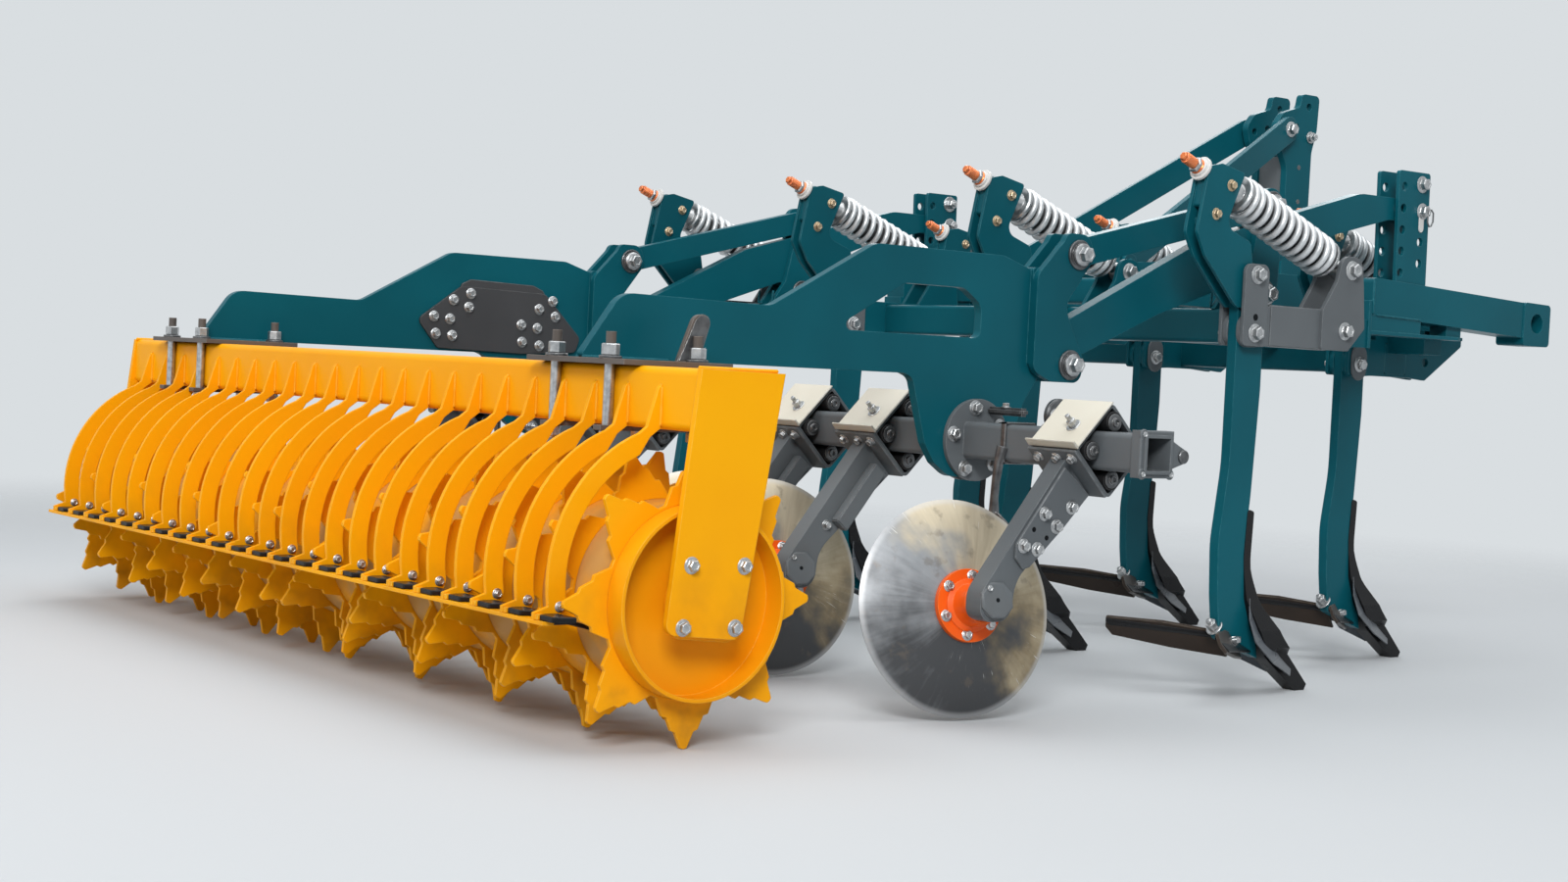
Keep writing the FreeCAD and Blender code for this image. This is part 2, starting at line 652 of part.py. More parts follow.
# ---------------------------------------------------------------- depth linkage
def depth_lever():
    """Bell crank: rear eye on the arm's lower pin, pivot lug on the frame, nose between the plates."""
    x, z = lever_pivot
    rear_x, rear_z = lower_pin
    nose_x = x + 662
    nose_z = z + 278
    points = [(rear_x - 38, rear_z, 34), (rear_x + 2, rear_z + 113, 44), (x - 227, z + 131, 120),
              (x + 412, z + 310, 120), (nose_x + 34, z + 310, 30), (nose_x + 34, z + 246, 30),
              (x + 541, z + 246, 80), (x + 315, z + 188, 80), (x + 56, z + 88, 60), (x + 42, z - 38, 36),
              (x - 40, z - 38, 36), (x - 54, z + 38, 40), (x - 391, z - 78, 80),
              (rear_x + 40, rear_z + 20, 30), (rear_x + 26, rear_z - 38, 30), (rear_x - 38, rear_z - 38, 36)]
    holes = [(x, z, pin_radius + running_gap), (rear_x, rear_z, pin_radius + running_gap),
             (nose_x, nose_z, depth_hole_radius)]
    half = link_thickness / 2
    return plate(points, linkage_y - half, linkage_y + half, holes)


def upper_link():
    half = link_thickness / 2
    body = plate(bar_outline(upper_pin, link_ear, 36), linkage_y - half, linkage_y + half)
    x, z = link_ear
    body = body.cut(pin_y(x, z, pin_radius + running_gap, linkage_y - 40, linkage_y + 40))
    x, z = upper_pin
    return body.cut(pin_y(x, z, pin_radius + open_pivot_gap, linkage_y - 40, linkage_y + 40))


# ---------------------------------------------------------------- arms
def arm():
    """Side arm of the rear section with the clevis for the lever and the upper link."""
    half = arm_thickness / 2
    rear = roller_beam_rear + 1
    high = upper_pin[1]
    low = lower_pin[1]
    tube = disc_tube_z
    outline = [(rear, arm_bottom, 8), (-1818, arm_bottom + 146, 60), (-1409, arm_bottom + 140, 60),
               (-1106, high - 16, 60), (-694, high - 17, 60), (-585, high - 51, 20), (-560, high - 51),
               (-560, low - 39), (-600, low - 97, 20), (-662, tube - 51, 60), (-732, tube - 96, 60),
               (-842, tube - 91, 60), (-890, tube - 59, 20), (-923, tube - 12, 20),
               (-972, arm_bottom - 10, 30), (-1000, arm_bottom, 20)]
    window = [(-1224, arm_bottom + 95, 14), (-1010, high - 105, 40), (-820, high - 105, 50),
              (-760, high - 145, 40), (-760, arm_bottom + 95, 20)]
    body = plate(outline, linkage_y - half, linkage_y + half)
    body = body.cut(plate(window, linkage_y - half - 1, linkage_y + half + 1))
    gap = clevis_gap / 2
    x, z = upper_pin
    low_x, low_z = lower_pin
    cheek = [(x - 53, z + 30, 30), (x - 40, z + 53, 40), (x + 40, z + 53, 45), (x + 53, z - 10, 45),
             (x - 31, z - 120, 80), (low_x - 17, low_z + 130, 80), (low_x + 45, low_z + 20, 40),
             (low_x + 45, low_z - 45, 40), (low_x - 60, low_z - 45, 40), (low_x - 124, low_z - 20, 30),
             (-600, z - 160, 40), (-600, z - 60, 40)]
    pieces = [body]
    for y0 in (linkage_y - gap - clevis_plate, linkage_y + gap):
        pieces.append(plate(cheek, y0, y0 + clevis_plate))
    boss = [(-600, low_z - 9, 10), (-534, low_z - 9, 10), (-534, z - 40, 10), (-600, z - 40, 10)]
    pieces.append(plate(boss, linkage_y - gap, linkage_y + gap))
    ends = gap + clevis_plate + 16
    for cx, cz in (upper_pin, lower_pin):
        pieces.append(pin_y(cx, cz, pin_radius, linkage_y - ends, linkage_y + ends))
    return fused(pieces)


def adjusting_plate():
    """Dark plate on the arm's inner face with its two arcs of bolts."""
    y1 = linkage_y - arm_thickness / 2
    points = [(-1221, 892, 20), (-1073, 1001, 40), (-770, 994, 40), (-634, 859, 20), (-650, 812, 20),
              (-850, 800, 20), (-1149, 806, 20)]
    return plate(points, y1 - 10, y1)


# ---------------------------------------------------------------- disc gang
def disc_tube_middle():
    inner_face = linkage_y - arm_thickness / 2
    return disc_tube(-inner_face, inner_face, (-1, 1))


def disc_tube_outer():
    """Open-ended tube outboard of the arm."""
    return disc_tube(linkage_y + arm_thickness / 2, disc_tube_end_y, (-1,))


def disc_tube(y0, y1, flanged_ends):
    x, z, half = disc_tube_x, disc_tube_z, disc_tube_size / 2
    outer = plate([(x - half, z - half, 12), (x + half, z - half, 12),
                   (x + half, z + half, 12), (x - half, z + half, 12)], y0, y1)
    inside = half - disc_tube_wall
    body = outer.cut(box(x - inside, x + inside, y0 - 1, y1 + 1, z - inside, z + inside))
    rings = []
    if -1 in flanged_ends:
        rings.append(pin_y(x, z, disc_flange_radius, y0, y0 + 12))
    if 1 in flanged_ends:
        rings.append(pin_y(x, z, disc_flange_radius, y1 - 12, y1))
    way = box(x - inside, x + inside, y0 - 1, y1 + 1, z - inside, z + inside)
    return fused([body] + [ring.cut(way) for ring in rings])


def diamond(half, y0, y1, radius):
    x, z = disc_tube_x, disc_tube_z
    reach = half * math.sqrt(2)
    return plate([(x - reach, z, radius), (x, z - reach, radius), (x + reach, z, radius),
                  (x, z + reach, radius)], y0, y1)


def disc_holder(y):
    """Diamond-turned housing round the disc tube; rubber rollers sit in its four corners."""
    y0 = y - disc_holder_width / 2
    y1 = y + disc_holder_width / 2
    inside = disc_tube_size / math.sqrt(2) + holder_slack
    body = diamond(inside + 8, y0, y1, 14)
    return body.cut(diamond(inside, y0 - 1, y1 + 1, 6))


def rubber_corners(y):
    """Four rubber rollers between the disc tube's flats and the housing's corners."""
    inside = disc_tube_size / math.sqrt(2) + holder_slack
    half = disc_tube_size / 2
    radius = (inside - half / math.sqrt(2)) / (1 + 1 / math.sqrt(2)) - 0.1
    rollers = []
    for dx, dz in ((1, 0), (0, 1), (-1, 0), (0, -1)):
        x = disc_tube_x + dx * (half + radius)
        z = disc_tube_z + dz * (half + radius)
        end = disc_holder_width / 2 + 8
        rollers.append(pin_y(x, z, radius, y - end, y + end))
    return rollers


def disc_middle(y):
    """Middle of the disc's flat, on the side of its arm."""
    drop = disc_radius * math.cos(math.radians(disc_tilt)) + disc_dish * math.sin(math.radians(disc_tilt))
    return Vector(disc_tube_x - disc_back, y - disc_inset, disc_ground_gap + drop + disc_thickness)


def leaned(shape, y):
    """Turns a shape built round the +Y axis into a disc's axis and moves it to the disc's middle."""
    body = shape.copy()
    body.rotate(Vector(0, 0, 0), Vector(1, 0, 0), disc_tilt)
    body.rotate(Vector(0, 0, 0), Vector(0, 0, 1), disc_yaw)
    body.translate(disc_middle(y))
    return body


def disc_blade(y):
    """Dished disc, hollow side inboard."""
    mid = (disc_flat_radius + disc_radius) / 2
    ratio = (mid ** 2 - disc_flat_radius ** 2) / (disc_radius ** 2 - disc_flat_radius ** 2)
    deep = disc_dish * ratio
    t = disc_thickness
    edges = [
        Part.LineSegment(Vector(0, 0, 0), Vector(disc_flat_radius, 0, 0)).toShape(),
        Part.Arc(Vector(disc_flat_radius, 0, 0), Vector(mid, -deep, 0),
                 Vector(disc_radius, -disc_dish, 0)).toShape(),
        Part.LineSegment(Vector(disc_radius, -disc_dish, 0), Vector(disc_radius - 2, -disc_dish - t, 0)).toShape(),
        Part.Arc(Vector(disc_radius - 2, -disc_dish - t, 0), Vector(mid - 1, -deep - t, 0),
                 Vector(disc_flat_radius, -t, 0)).toShape(),
        Part.LineSegment(Vector(disc_flat_radius, -t, 0), Vector(0, -t, 0)).toShape(),
        Part.LineSegment(Vector(0, -t, 0), Vector(0, 0, 0)).toShape(),
    ]
    face = Part.Face(Part.Wire(edges))
    return leaned(face.revolve(Vector(0, 0, 0), Vector(0, 1, 0), 360), y)


def hub_cylinder(radius, v0, v1):
    return Part.makeCylinder(radius, v1 - v0, Vector(0, v0, 0), Vector(0, 1, 0))


def disc_hub(y):
    """Bolting flange and bearing housing that turn with the disc."""
    body = fused([hub_cylinder(hub_flange_radius, 0, 14), hub_cylinder(hub_radius, 14, 62)])
    return leaned(body.cut(hub_cylinder(axle_radius + running_gap, 16, 70)), y)


def disc_arm(y):
    """Welded arm from the housing's underside down to the stub axle's boss."""
    middle = disc_middle(y)
    turn = math.radians(disc_yaw)
    tilt = math.radians(disc_tilt)
    reach = 100
    foot = middle + Vector(-math.sin(turn) * reach, math.cos(turn) * reach, math.sin(tilt) * reach)
    inside = disc_tube_size / math.sqrt(2) + holder_slack + 8
    x, z = disc_tube_x, disc_tube_z
    r = inside * math.sqrt(2)
    outline = [(x - r * 0.75, z - 10), (x - r * 0.2, z - r * 0.6), (x + 2, z - r * 0.82),
               (foot.x + 56, foot.z + 50, 90), (foot.x + 46, foot.z - 44, 42),
               (foot.x - 46, foot.z - 44, 42), (foot.x - 46, foot.z + 24, 60)]
    y0 = y - 22
    body = plate(outline, y0, y0 + 50)
    body = body.cut(diamond(inside, y - 200, y + 200, 14))
    boss = leaned(hub_cylinder(hub_radius - 3, 72, 128), y)
    axle = leaned(hub_cylinder(axle_radius, 22, 100), y)
    body = body.cut(leaned(hub_cylinder(hub_radius + 6, -20, 72), y))
    return fused([body, boss, axle])


# ---------------------------------------------------------------- roller
def drum():
    """Closed drum with recessed end discs and stub shafts."""
    shell = pin_y(roller_x, roller_z, drum_radius, -drum_half, drum_half)
    shell = shell.cut(pin_y(roller_x, roller_z, drum_radius - drum_wall, -drum_half - 1, drum_half + 1))
    pieces = [shell]
    inner = drum_half - end_disc_recess
    for side in (-1, 1):
        a = side * inner
        b = side * (inner - 10)
        pieces.append(pin_y(roller_x, roller_z, drum_radius - drum_wall, min(a, b), max(a, b)))
        a = side * (inner - 10)
        b = side * (side_plate_y - 4)
        pieces.append(pin_y(roller_x, roller_z, stub_radius, min(a, b), max(a, b)))
    return fused(pieces)


def tooth_points(angle):
    """Half-stepped outline of one tooth, pointing along this angle."""
    root = drum_radius + 2
    half = tooth_base_half
    tall = tooth_circle_radius - root
    right = [(half, root - 8), (half * 0.8, root + tall * 0.3), (half * 0.64, root + tall * 0.33),
             (half * 0.46, root + tall * 0.61), (half * 0.32, root + tall * 0.65),
             (half * 0.1, tooth_circle_radius - 2), (0, tooth_circle_radius)]
    shape = [(-side, out) for side, out in right[:-1]] + right[::-1]
    points = []
    for side, out in shape:
        x = out * math.cos(angle) - side * math.sin(angle)
        z = out * math.sin(angle) + side * math.cos(angle)
        points.append(Vector(roller_x + x, 0, roller_z + z))
    return points


def tooth_ring(index):
    """One toothed ring; each ring is turned a step further than its outer neighbour."""
    y = (index - (ring_count - 1) / 2) * ring_pitch
    from_end = min(index, ring_count - 1 - index)
    phase = -math.pi / 2 + math.radians(ring_step) * from_end
    points = []
    for tooth in range(teeth_per_ring):
        points += tooth_points(phase + 2 * math.pi * tooth / teeth_per_ring)
    face = Part.Face(Part.makePolygon(points + [points[0]]))
    body = face.extrude(Vector(0, ring_thickness, 0))
    body.translate(Vector(0, y - ring_thickness / 2, 0))
    return body.cut(pin_y(roller_x, roller_z, drum_radius + 0.2, y - 20, y + 20))


def roller_beam():
    """Rounded box beam across the roller, between the side plates."""
    x0 = roller_beam_rear
    x1 = x0 + roller_beam_depth
    z1 = roller_beam_top
    z0 = z1 - roller_beam_height
    r = 16
    half = side_plate_y
    outer = plate([(x0, z0, r), (x1, z0, r), (x1, z1, r), (x0, z1, r)], -half, half)
    w = roller_beam_wall
    return outer.cut(box(x0 + w, x1 - w, -half + w, half - w, z0 + w, z1 - w))


def side_plate():
    """Plate from the beam's end down past the roller's axis, with the bearing inside it."""
    y0 = side_plate_y
    x0 = roller_beam_rear
    points = [(x0 - 1, roller_beam_top), (x0 + roller_beam_depth + 9, roller_beam_top - 3),
              (roller_x + 72, roller_z - 73, 24), (roller_x - 114, roller_z - 57, 24)]
    body = plate(points, y0, y0 + side_plate_thickness)
    bearing = pin_y(roller_x, roller_z, bearing_radius, y0 - 52, y0)
    square = [(roller_x - 88, roller_z - 66, 20), (roller_x + 66, roller_z - 80, 20),
              (roller_x + 84, roller_z + 70, 20), (roller_x - 84, roller_z + 80, 20)]
    flange = plate(square, y0 - 12, y0)
    body = fused([body, bearing, flange])
    return body.cut(pin_y(roller_x, roller_z, stub_radius + running_gap, y0 - 60, y0 - 1))


def roller_clamp():
    """Arm's foot plate on the roller beam, four clamp rods, two straps and the lifting tab."""
    x0 = roller_beam_rear - 35
    x1 = roller_beam_rear + roller_beam_depth + 45
    y = clamp_y
    top = arm_bottom
    foot = box(x0, x1, y - 198, y + 198, roller_beam_top, top)
    pieces = [foot]
    low = roller_beam_top - roller_beam_height - 11
    for dy in (-clamp_rod_half_spacing, clamp_rod_half_spacing):
        strap = box(x0 - 3, x1 - 7, y + dy - 15, y + dy + 15, low, low + 11)
        rods = []
        for rx in (roller_beam_rear - 12.2, roller_beam_rear + roller_beam_depth + 12.2):
            rods.append(Part.makeCylinder(clamp_rod_radius, top + 57 - low + 12, Vector(rx, y + dy, low - 12),
                                          Vector(0, 0, 1)))
        pieces += [strap] + rods
    tab = [(roller_beam_rear + 167, top), (roller_beam_rear + 224, top), (roller_beam_rear + 250, top + 105, 26),
           (roller_beam_rear + 208, top + 105, 26)]
    pieces.append(plate(tab, y + 88, y + 100))
    return fused(pieces)


def scraper(y):
    """Curved scraper arm, welded to the beam's rear face, with its foot on the rail."""
    cx = roller_x + scraper_centre[0]
    cz = roller_z + scraper_centre[1]
    outer = scraper_radius
    inner = scraper_radius - 42

    def at(radius, degrees):
        return Vector(cx + radius * math.cos(math.radians(degrees)), 0,
                      cz + radius * math.sin(math.radians(degrees)))
    beam = roller_beam_rear
    top = roller_beam_top - 36
    rail_top = scraper_rail_z
    rear = scraper_rail_x
    path = [Vector(beam, 0, top - 92), Vector(beam, 0, top), Vector(beam - 8, 0, top - 8),
            Vector(beam - 32, 0, top - 89)]
    foot = [Vector(rear + 1, 0, rail_top + 14), Vector(rear + 1, 0, rail_top), Vector(rear + 69, 0, rail_top)]
    edges = [Part.makePolygon(path + [at(outer, 112)])]
    edges.append(Part.Arc(at(outer, 112), at(outer, 150), at(outer, 189)).toShape())
    edges.append(Part.makePolygon([at(outer, 189)] + foot + [at(inner, 190)]))
    edges.append(Part.Arc(at(inner, 190), at(inner, 150), at(inner, 115)).toShape())
    edges.append(Part.makePolygon([at(inner, 115), Vector(beam - 24, 0, top - 110), path[0]]))
    face = Part.Face(Part.Wire([edge for part in edges for edge in part.Edges]))
    body = face.extrude(Vector(0, scraper_thickness, 0))
    body.translate(Vector(0, y - scraper_thickness / 2, 0))
    return body


def scraper_rail():
    half = scrapers_y[-1] + 40
    return box(scraper_rail_x, scraper_rail_x + 27, -half, half, scraper_rail_z - 8, scraper_rail_z)


def scraper_blade(y):
    """Hard-faced blade that cleans the drum between two rings."""
    x0 = scraper_rail_x + 27
    z = scraper_rail_z
    points = [(x0, z), (x0, z - 8), (x0 + 42, z - 8), (x0 + 99, z - 23), (x0 + 101, z - 15), (x0 + 43, z)]
    return plate(points, y - 35, y + 35)


# ---------------------------------------------------------------- nodes
def both(shape):
    return [shape, mirrored(shape)]


def flat_list(groups):
    return [item for group in groups for item in group]


def frame_nodes():
    nodes = {}
    nodes["rear_beam"] = [rear_beam()]
    nodes["front_beam"] = [front_beam()]
    nodes["hitch_beam_left"] = [hitch_beam()]
    nodes["hitch_beam_right"] = [mirrored(hitch_beam())]
    nodes["headstock_beam"] = [headstock_crossbeam()]
    nodes["mid_beam"] = [mid_crossbeam()]
    nodes["side_rails"] = both(side_rail())
    nodes["side_beams"] = both(side_beam())
    nodes["inner_rails"] = both(inner_rail())
    nodes["mast_plates"] = both(mast_plate_one())
    nodes["mast_spacer"] = [mast_spacer()]
    nodes["mast_stays"] = both(mast_stay())
    nodes["stay_feet"] = both(stay_foot())
    nodes["depth_plates"] = both(depth_plate_pair())
    nodes["link_brackets"] = both(link_bracket())
    nodes["depth_levers"] = both(depth_lever())
    nodes["upper_links"] = both(upper_link())
    return nodes


def lowered(shapes, drop):
    for shape in shapes:
        shape.translate(Vector(0, 0, -drop))
    return shapes


def tine_nodes():
    nodes = {}
    outer = [rear_tines_y[0], rear_tines_y[-1]]
    nodes["tine_holders_outer"] = [tine_holder(rear_row_x, y) for y in outer]
    nodes["tine_holders_inner"] = [tine_holder(rear_row_x, y) for y in rear_tines_y[1:-1]]
    holders = [tine_holder(front_row_x, y, True) for y in front_tines_y]
    nodes["tine_holders_front"] = lowered(holders, front_row_drop)
    rows = (("rear", rear_row_x, rear_tines_y, 0.0), ("front", front_row_x, front_tines_y, front_row_drop))
    for name, x, row, drop in rows:
        nodes["tine_straps_" + name] = lowered(flat_list(tine_strap(x, y) for y in row), drop)
        nodes["springs_" + name] = lowered([coil_spring(x, y) for y in row], drop)
        nodes["spring_rods_" + name] = lowered([spring_rod(x, y) for y in row], drop)
        nodes["tines_" + name] = [tine_shank(x, y, drop) for y in row]
        nodes["shares_" + name] = flat_list([share(x, y, drop), wing(x, y, -1), wing(x, y, 1)] for y in row)
    return nodes


def rear_nodes():
    nodes = {}
    nodes["arm_left"] = [arm()]
    nodes["arm_right"] = [mirrored(arm())]
    nodes["adjusting_plate"] = [adjusting_plate()]
    nodes["disc_tube_middle"] = [disc_tube_middle()]
    nodes["disc_tube_left"] = [disc_tube_outer()]
    nodes["disc_tube_right"] = [mirrored(disc_tube_outer())]
    nodes["disc_holders"] = flat_list(both(disc_holder(y)) for y in disc_stations)
    nodes["rubber_rollers"] = flat_list(both(roller) for y in disc_stations for roller in rubber_corners(y))
    nodes["disc_arms"] = flat_list(both(disc_arm(y)) for y in disc_stations)
    nodes["roller_beam"] = [roller_beam()]
    nodes["side_plates"] = both(side_plate())
    nodes["roller_clamps"] = both(roller_clamp())
    nodes["scraper_arms"] = [scraper(y) for y in scrapers_y]
    nodes["scraper_rail"] = [scraper_rail()]
    nodes["scraper_blades"] = [scraper_blade(y) for y in scrapers_y]
    return nodes


def turning_nodes():
    nodes = {}
    nodes["roller_drum"] = [drum()]
    nodes["roller_rings"] = [tooth_ring(k) for k in range(ring_count)]
    for number, y in enumerate(disc_stations, 1):
        for side in ("left", "right"):
            blade = disc_blade(y)
            hub = disc_hub(y)
            if side == "right":
                blade = mirrored(blade)
                hub = mirrored(hub)
            nodes["disc_" + side + "_" + str(number)] = [blade]
            nodes["disc_hub_" + side + "_" + str(number)] = [hub]
    return nodes


def main():
    os.makedirs("parts", exist_ok=True)
    nodes = {}
    nodes.update(frame_nodes())
    nodes.update(tine_nodes())
    nodes.update(rear_nodes())
    nodes.update(turning_nodes())
    for name, solids in nodes.items():
        shape = solids[0] if len(solids) == 1 else Part.makeCompound(solids)
        shape.translate(Vector(-middle_x, 0, 0))
        shape.exportStep("parts/" + name + ".step")


main()
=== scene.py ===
"""Look of the stubble cultivator: materials, fasteners, coil springs, stage, light and camera."""
import bpy
import bmesh
import json
import math
import random
from mathutils import Matrix, Vector


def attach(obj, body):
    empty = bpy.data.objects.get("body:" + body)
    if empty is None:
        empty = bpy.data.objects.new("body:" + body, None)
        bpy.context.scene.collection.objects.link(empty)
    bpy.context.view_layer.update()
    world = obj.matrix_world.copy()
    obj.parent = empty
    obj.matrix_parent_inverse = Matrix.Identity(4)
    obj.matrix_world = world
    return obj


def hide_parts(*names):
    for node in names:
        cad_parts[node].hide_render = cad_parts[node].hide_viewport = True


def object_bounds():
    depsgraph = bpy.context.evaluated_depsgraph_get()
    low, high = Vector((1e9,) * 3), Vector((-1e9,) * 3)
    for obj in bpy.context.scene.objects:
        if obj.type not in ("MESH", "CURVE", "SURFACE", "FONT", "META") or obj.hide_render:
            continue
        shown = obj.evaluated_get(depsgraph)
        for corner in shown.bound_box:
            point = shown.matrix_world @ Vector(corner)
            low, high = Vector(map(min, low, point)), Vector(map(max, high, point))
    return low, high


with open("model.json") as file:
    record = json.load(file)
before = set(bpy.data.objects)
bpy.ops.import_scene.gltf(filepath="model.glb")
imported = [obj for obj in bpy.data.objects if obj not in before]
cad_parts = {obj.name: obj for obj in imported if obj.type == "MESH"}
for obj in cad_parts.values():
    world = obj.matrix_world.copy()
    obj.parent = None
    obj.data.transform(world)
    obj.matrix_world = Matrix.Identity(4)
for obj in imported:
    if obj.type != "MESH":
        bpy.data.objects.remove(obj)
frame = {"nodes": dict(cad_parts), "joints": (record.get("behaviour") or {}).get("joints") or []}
cad_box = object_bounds()
random.seed(11)
nodes = frame["nodes"]

MIDDLE_X = -0.2435    # the CAD's station, in metres, at the row frame's origin
BOX_LOW, BOX_HIGH = cad_box


def at(x, y, z):
    """The row frame's place for a point in the CAD's own millimetres."""
    return Vector((x / 1000 - MIDDLE_X, y / 1000, z / 1000))


def to_cad(point):
    """The CAD's own millimetres for a point in the row frame."""
    return Vector(((point.x + MIDDLE_X) * 1000, point.y * 1000, point.z * 1000))


# stations of the CAD, in millimetres; a tine is (x, y, how far it hangs below the rear row)
TINES = [(-20, y, 0) for y in (-1245, -415, 415, 1245)] + [(914, y, 55) for y in (-830, 0, 830)]
PIVOT_Z = 946                            # a rear tine's pivot bolt; the next three are from it
STRAP_BOLT_Z = PIVOT_Z + 151
EYE_DX, EYE_Z = 372, PIVOT_Z + 186       # the spring rod's front eye
TRUNNION_DX, TRUNNION_Z = -100, PIVOT_Z + 374
HOLDER_HALF = 32                         # from a tine's middle to its holder's outer faces
STRAP_FACE = 42.3                        # and to its straps' outer faces
LINKAGE_Y = 1040
CLEVIS_FACE = 39                         # from the linkage's middle to its clevis plates' outer faces
FRAME_PINS = [(258, 1306), (244, 1062)]
ARM_PINS = [(-462, 1120), (-476, 839)]
TUBE_X, TUBE_Z, TUBE_HALF = -763, 641, 45
DISC_STATIONS = (400, 720, 1450)
ARM_FOOT_X, ARM_FOOT_Z = -1053, 277      # the disc arms run towards this point
ARM_FACE = 12.5                          # from the linkage's middle to the cranked arm's faces
FLANGE_FACE = ARM_FACE + 12              # and to the outer faces of the disc tube's flanges
ROLLER_BEAM_REAR, ROLLER_BEAM_TOP = -1922, 786
ARM_BOTTOM = ROLLER_BEAM_TOP + 12        # the cranked arms lie on the clamps' plates
CLAMP_Y, CLAMP_ROD_DY = 1087, 109
SIDE_PLATE_Y, SIDE_PLATE_THICKNESS = 1507.5, 15
RING_PITCH = 125
SCRAPERS_Y = [RING_PITCH * (k - 11) for k in range(23)]
SCRAPER_HALF = 5
RAIL_TOP = 270                           # the scraper rail's top face
DISCS = ["%s_%d" % (side, k) for side in ("left", "right") for k in (1, 2, 3)]
X_AXIS = Vector((1, 0, 0))
Y_AXIS = Vector((0, 1, 0))
Z_AXIS = Vector((0, 0, 1))


# ---------------------------------------------------------------- materials
def principled(name):
    """A new material, its node tree and its shader."""
    mat = bpy.data.materials.new(name)
    mat.use_nodes = True
    tree = mat.node_tree
    shader = tree.nodes["Principled BSDF"]
    return mat, tree, shader


def node_of(tree, kind, **settings):
    """A new node with its settings."""
    node = tree.nodes.new(kind)
    for key, value in settings.items():
        setattr(node, key, value)
    return node


def feed(tree, socket, value):
    """Links an output or sets a constant."""
    if isinstance(value, (float, int)):
        socket.default_value = value
    elif isinstance(value, tuple):
        socket.default_value = (*value, 1) if len(value) == 3 and socket.type == "RGBA" else value
    else:
        tree.links.new(value, socket)


def noise(tree, scale, detail=4.0, stretch=(1, 1, 1), vector=None):
    """Noise over the piece's own coordinates, or over vector."""
    if vector is None:
        vector = node_of(tree, "ShaderNodeTexCoord").outputs["Object"]
    mapping = node_of(tree, "ShaderNodeMapping")
    mapping.inputs["Scale"].default_value = stretch
    tree.links.new(vector, mapping.inputs["Vector"])
    node = node_of(tree, "ShaderNodeTexNoise")
    node.inputs["Scale"].default_value = scale
    node.inputs["Detail"].default_value = detail
    tree.links.new(mapping.outputs["Vector"], node.inputs["Vector"])
    return node.outputs["Fac"]


def ramp(tree, value, stops):
    """Colours by value, from (place, colour) stops."""
    node = node_of(tree, "ShaderNodeValToRGB")
    elements = node.color_ramp.elements
    while len(elements) < len(stops):
        elements.new(0.5)
    for element, (place, colour) in zip(elements, stops):
        element.position = place
        element.color = (*colour, 1)
    tree.links.new(value, node.inputs["Fac"])
    return node.outputs["Color"]


def levels(tree, value, low, high):
    """0 below low and 1 above high."""
    node = node_of(tree, "ShaderNodeMapRange", interpolation_type="SMOOTHSTEP")
    node.inputs["From Min"].default_value = low
    node.inputs["From Max"].default_value = high
    tree.links.new(value, node.inputs["Value"])
    return node.outputs["Result"]


def maths(tree, operation, *values, clamp=False):
    node = node_of(tree, "ShaderNodeMath", operation=operation, use_clamp=clamp)
    for socket, value in zip(node.inputs, values):
        feed(tree, socket, value)
    return node.outputs["Value"]


def vectors(tree, operation, *values):
    node = node_of(tree, "ShaderNodeVectorMath", operation=operation)
    for socket, value in zip(node.inputs, values):
        feed(tree, socket, value)
    return node.outputs["Value" if operation in ("DOT_PRODUCT", "LENGTH") else "Vector"]


def mixed(tree, factor, first, second):
    """The first colour at factor 0, the second at 1."""
    node = node_of(tree, "ShaderNodeMix", data_type="RGBA")
    for socket, value in ((node.inputs["Factor"], factor), (node.inputs[6], first), (node.inputs[7], second)):
        feed(tree, socket, value)
    return node.outputs[2]


def edge_mask(tree, radius):
    """A rounded normal, and how far it stays with the true one: lower along sharp edges."""
    bevel = node_of(tree, "ShaderNodeBevel", samples=4)
    bevel.inputs["Radius"].default_value = radius
    geometry = node_of(tree, "ShaderNodeNewGeometry")
    facing = vectors(tree, "DOT_PRODUCT", bevel.outputs["Normal"], geometry.outputs["Normal"])
    return bevel.outputs["Normal"], facing


def bump(tree, shader, height, strength, distance=0.001, normal=None):
    node = node_of(tree, "ShaderNodeBump")
    node.inputs["Strength"].default_value = strength
    node.inputs["Distance"].default_value = distance
    tree.links.new(height, node.inputs["Height"])
    if normal is not None:
        tree.links.new(normal, node.inputs["Normal"])
    tree.links.new(node.outputs["Normal"], shader.inputs["Normal"])


def roughen(tree, shader, value, rough):
    """Roughness from one end of rough to the other, as value goes from 0 to 1."""
    sheen = node_of(tree, "ShaderNodeMapRange")
    sheen.inputs["To Min"].default_value, sheen.inputs["To Max"].default_value = rough
    tree.links.new(value, sheen.inputs["Value"])
    tree.links.new(sheen.outputs["Result"], shader.inputs["Roughness"])


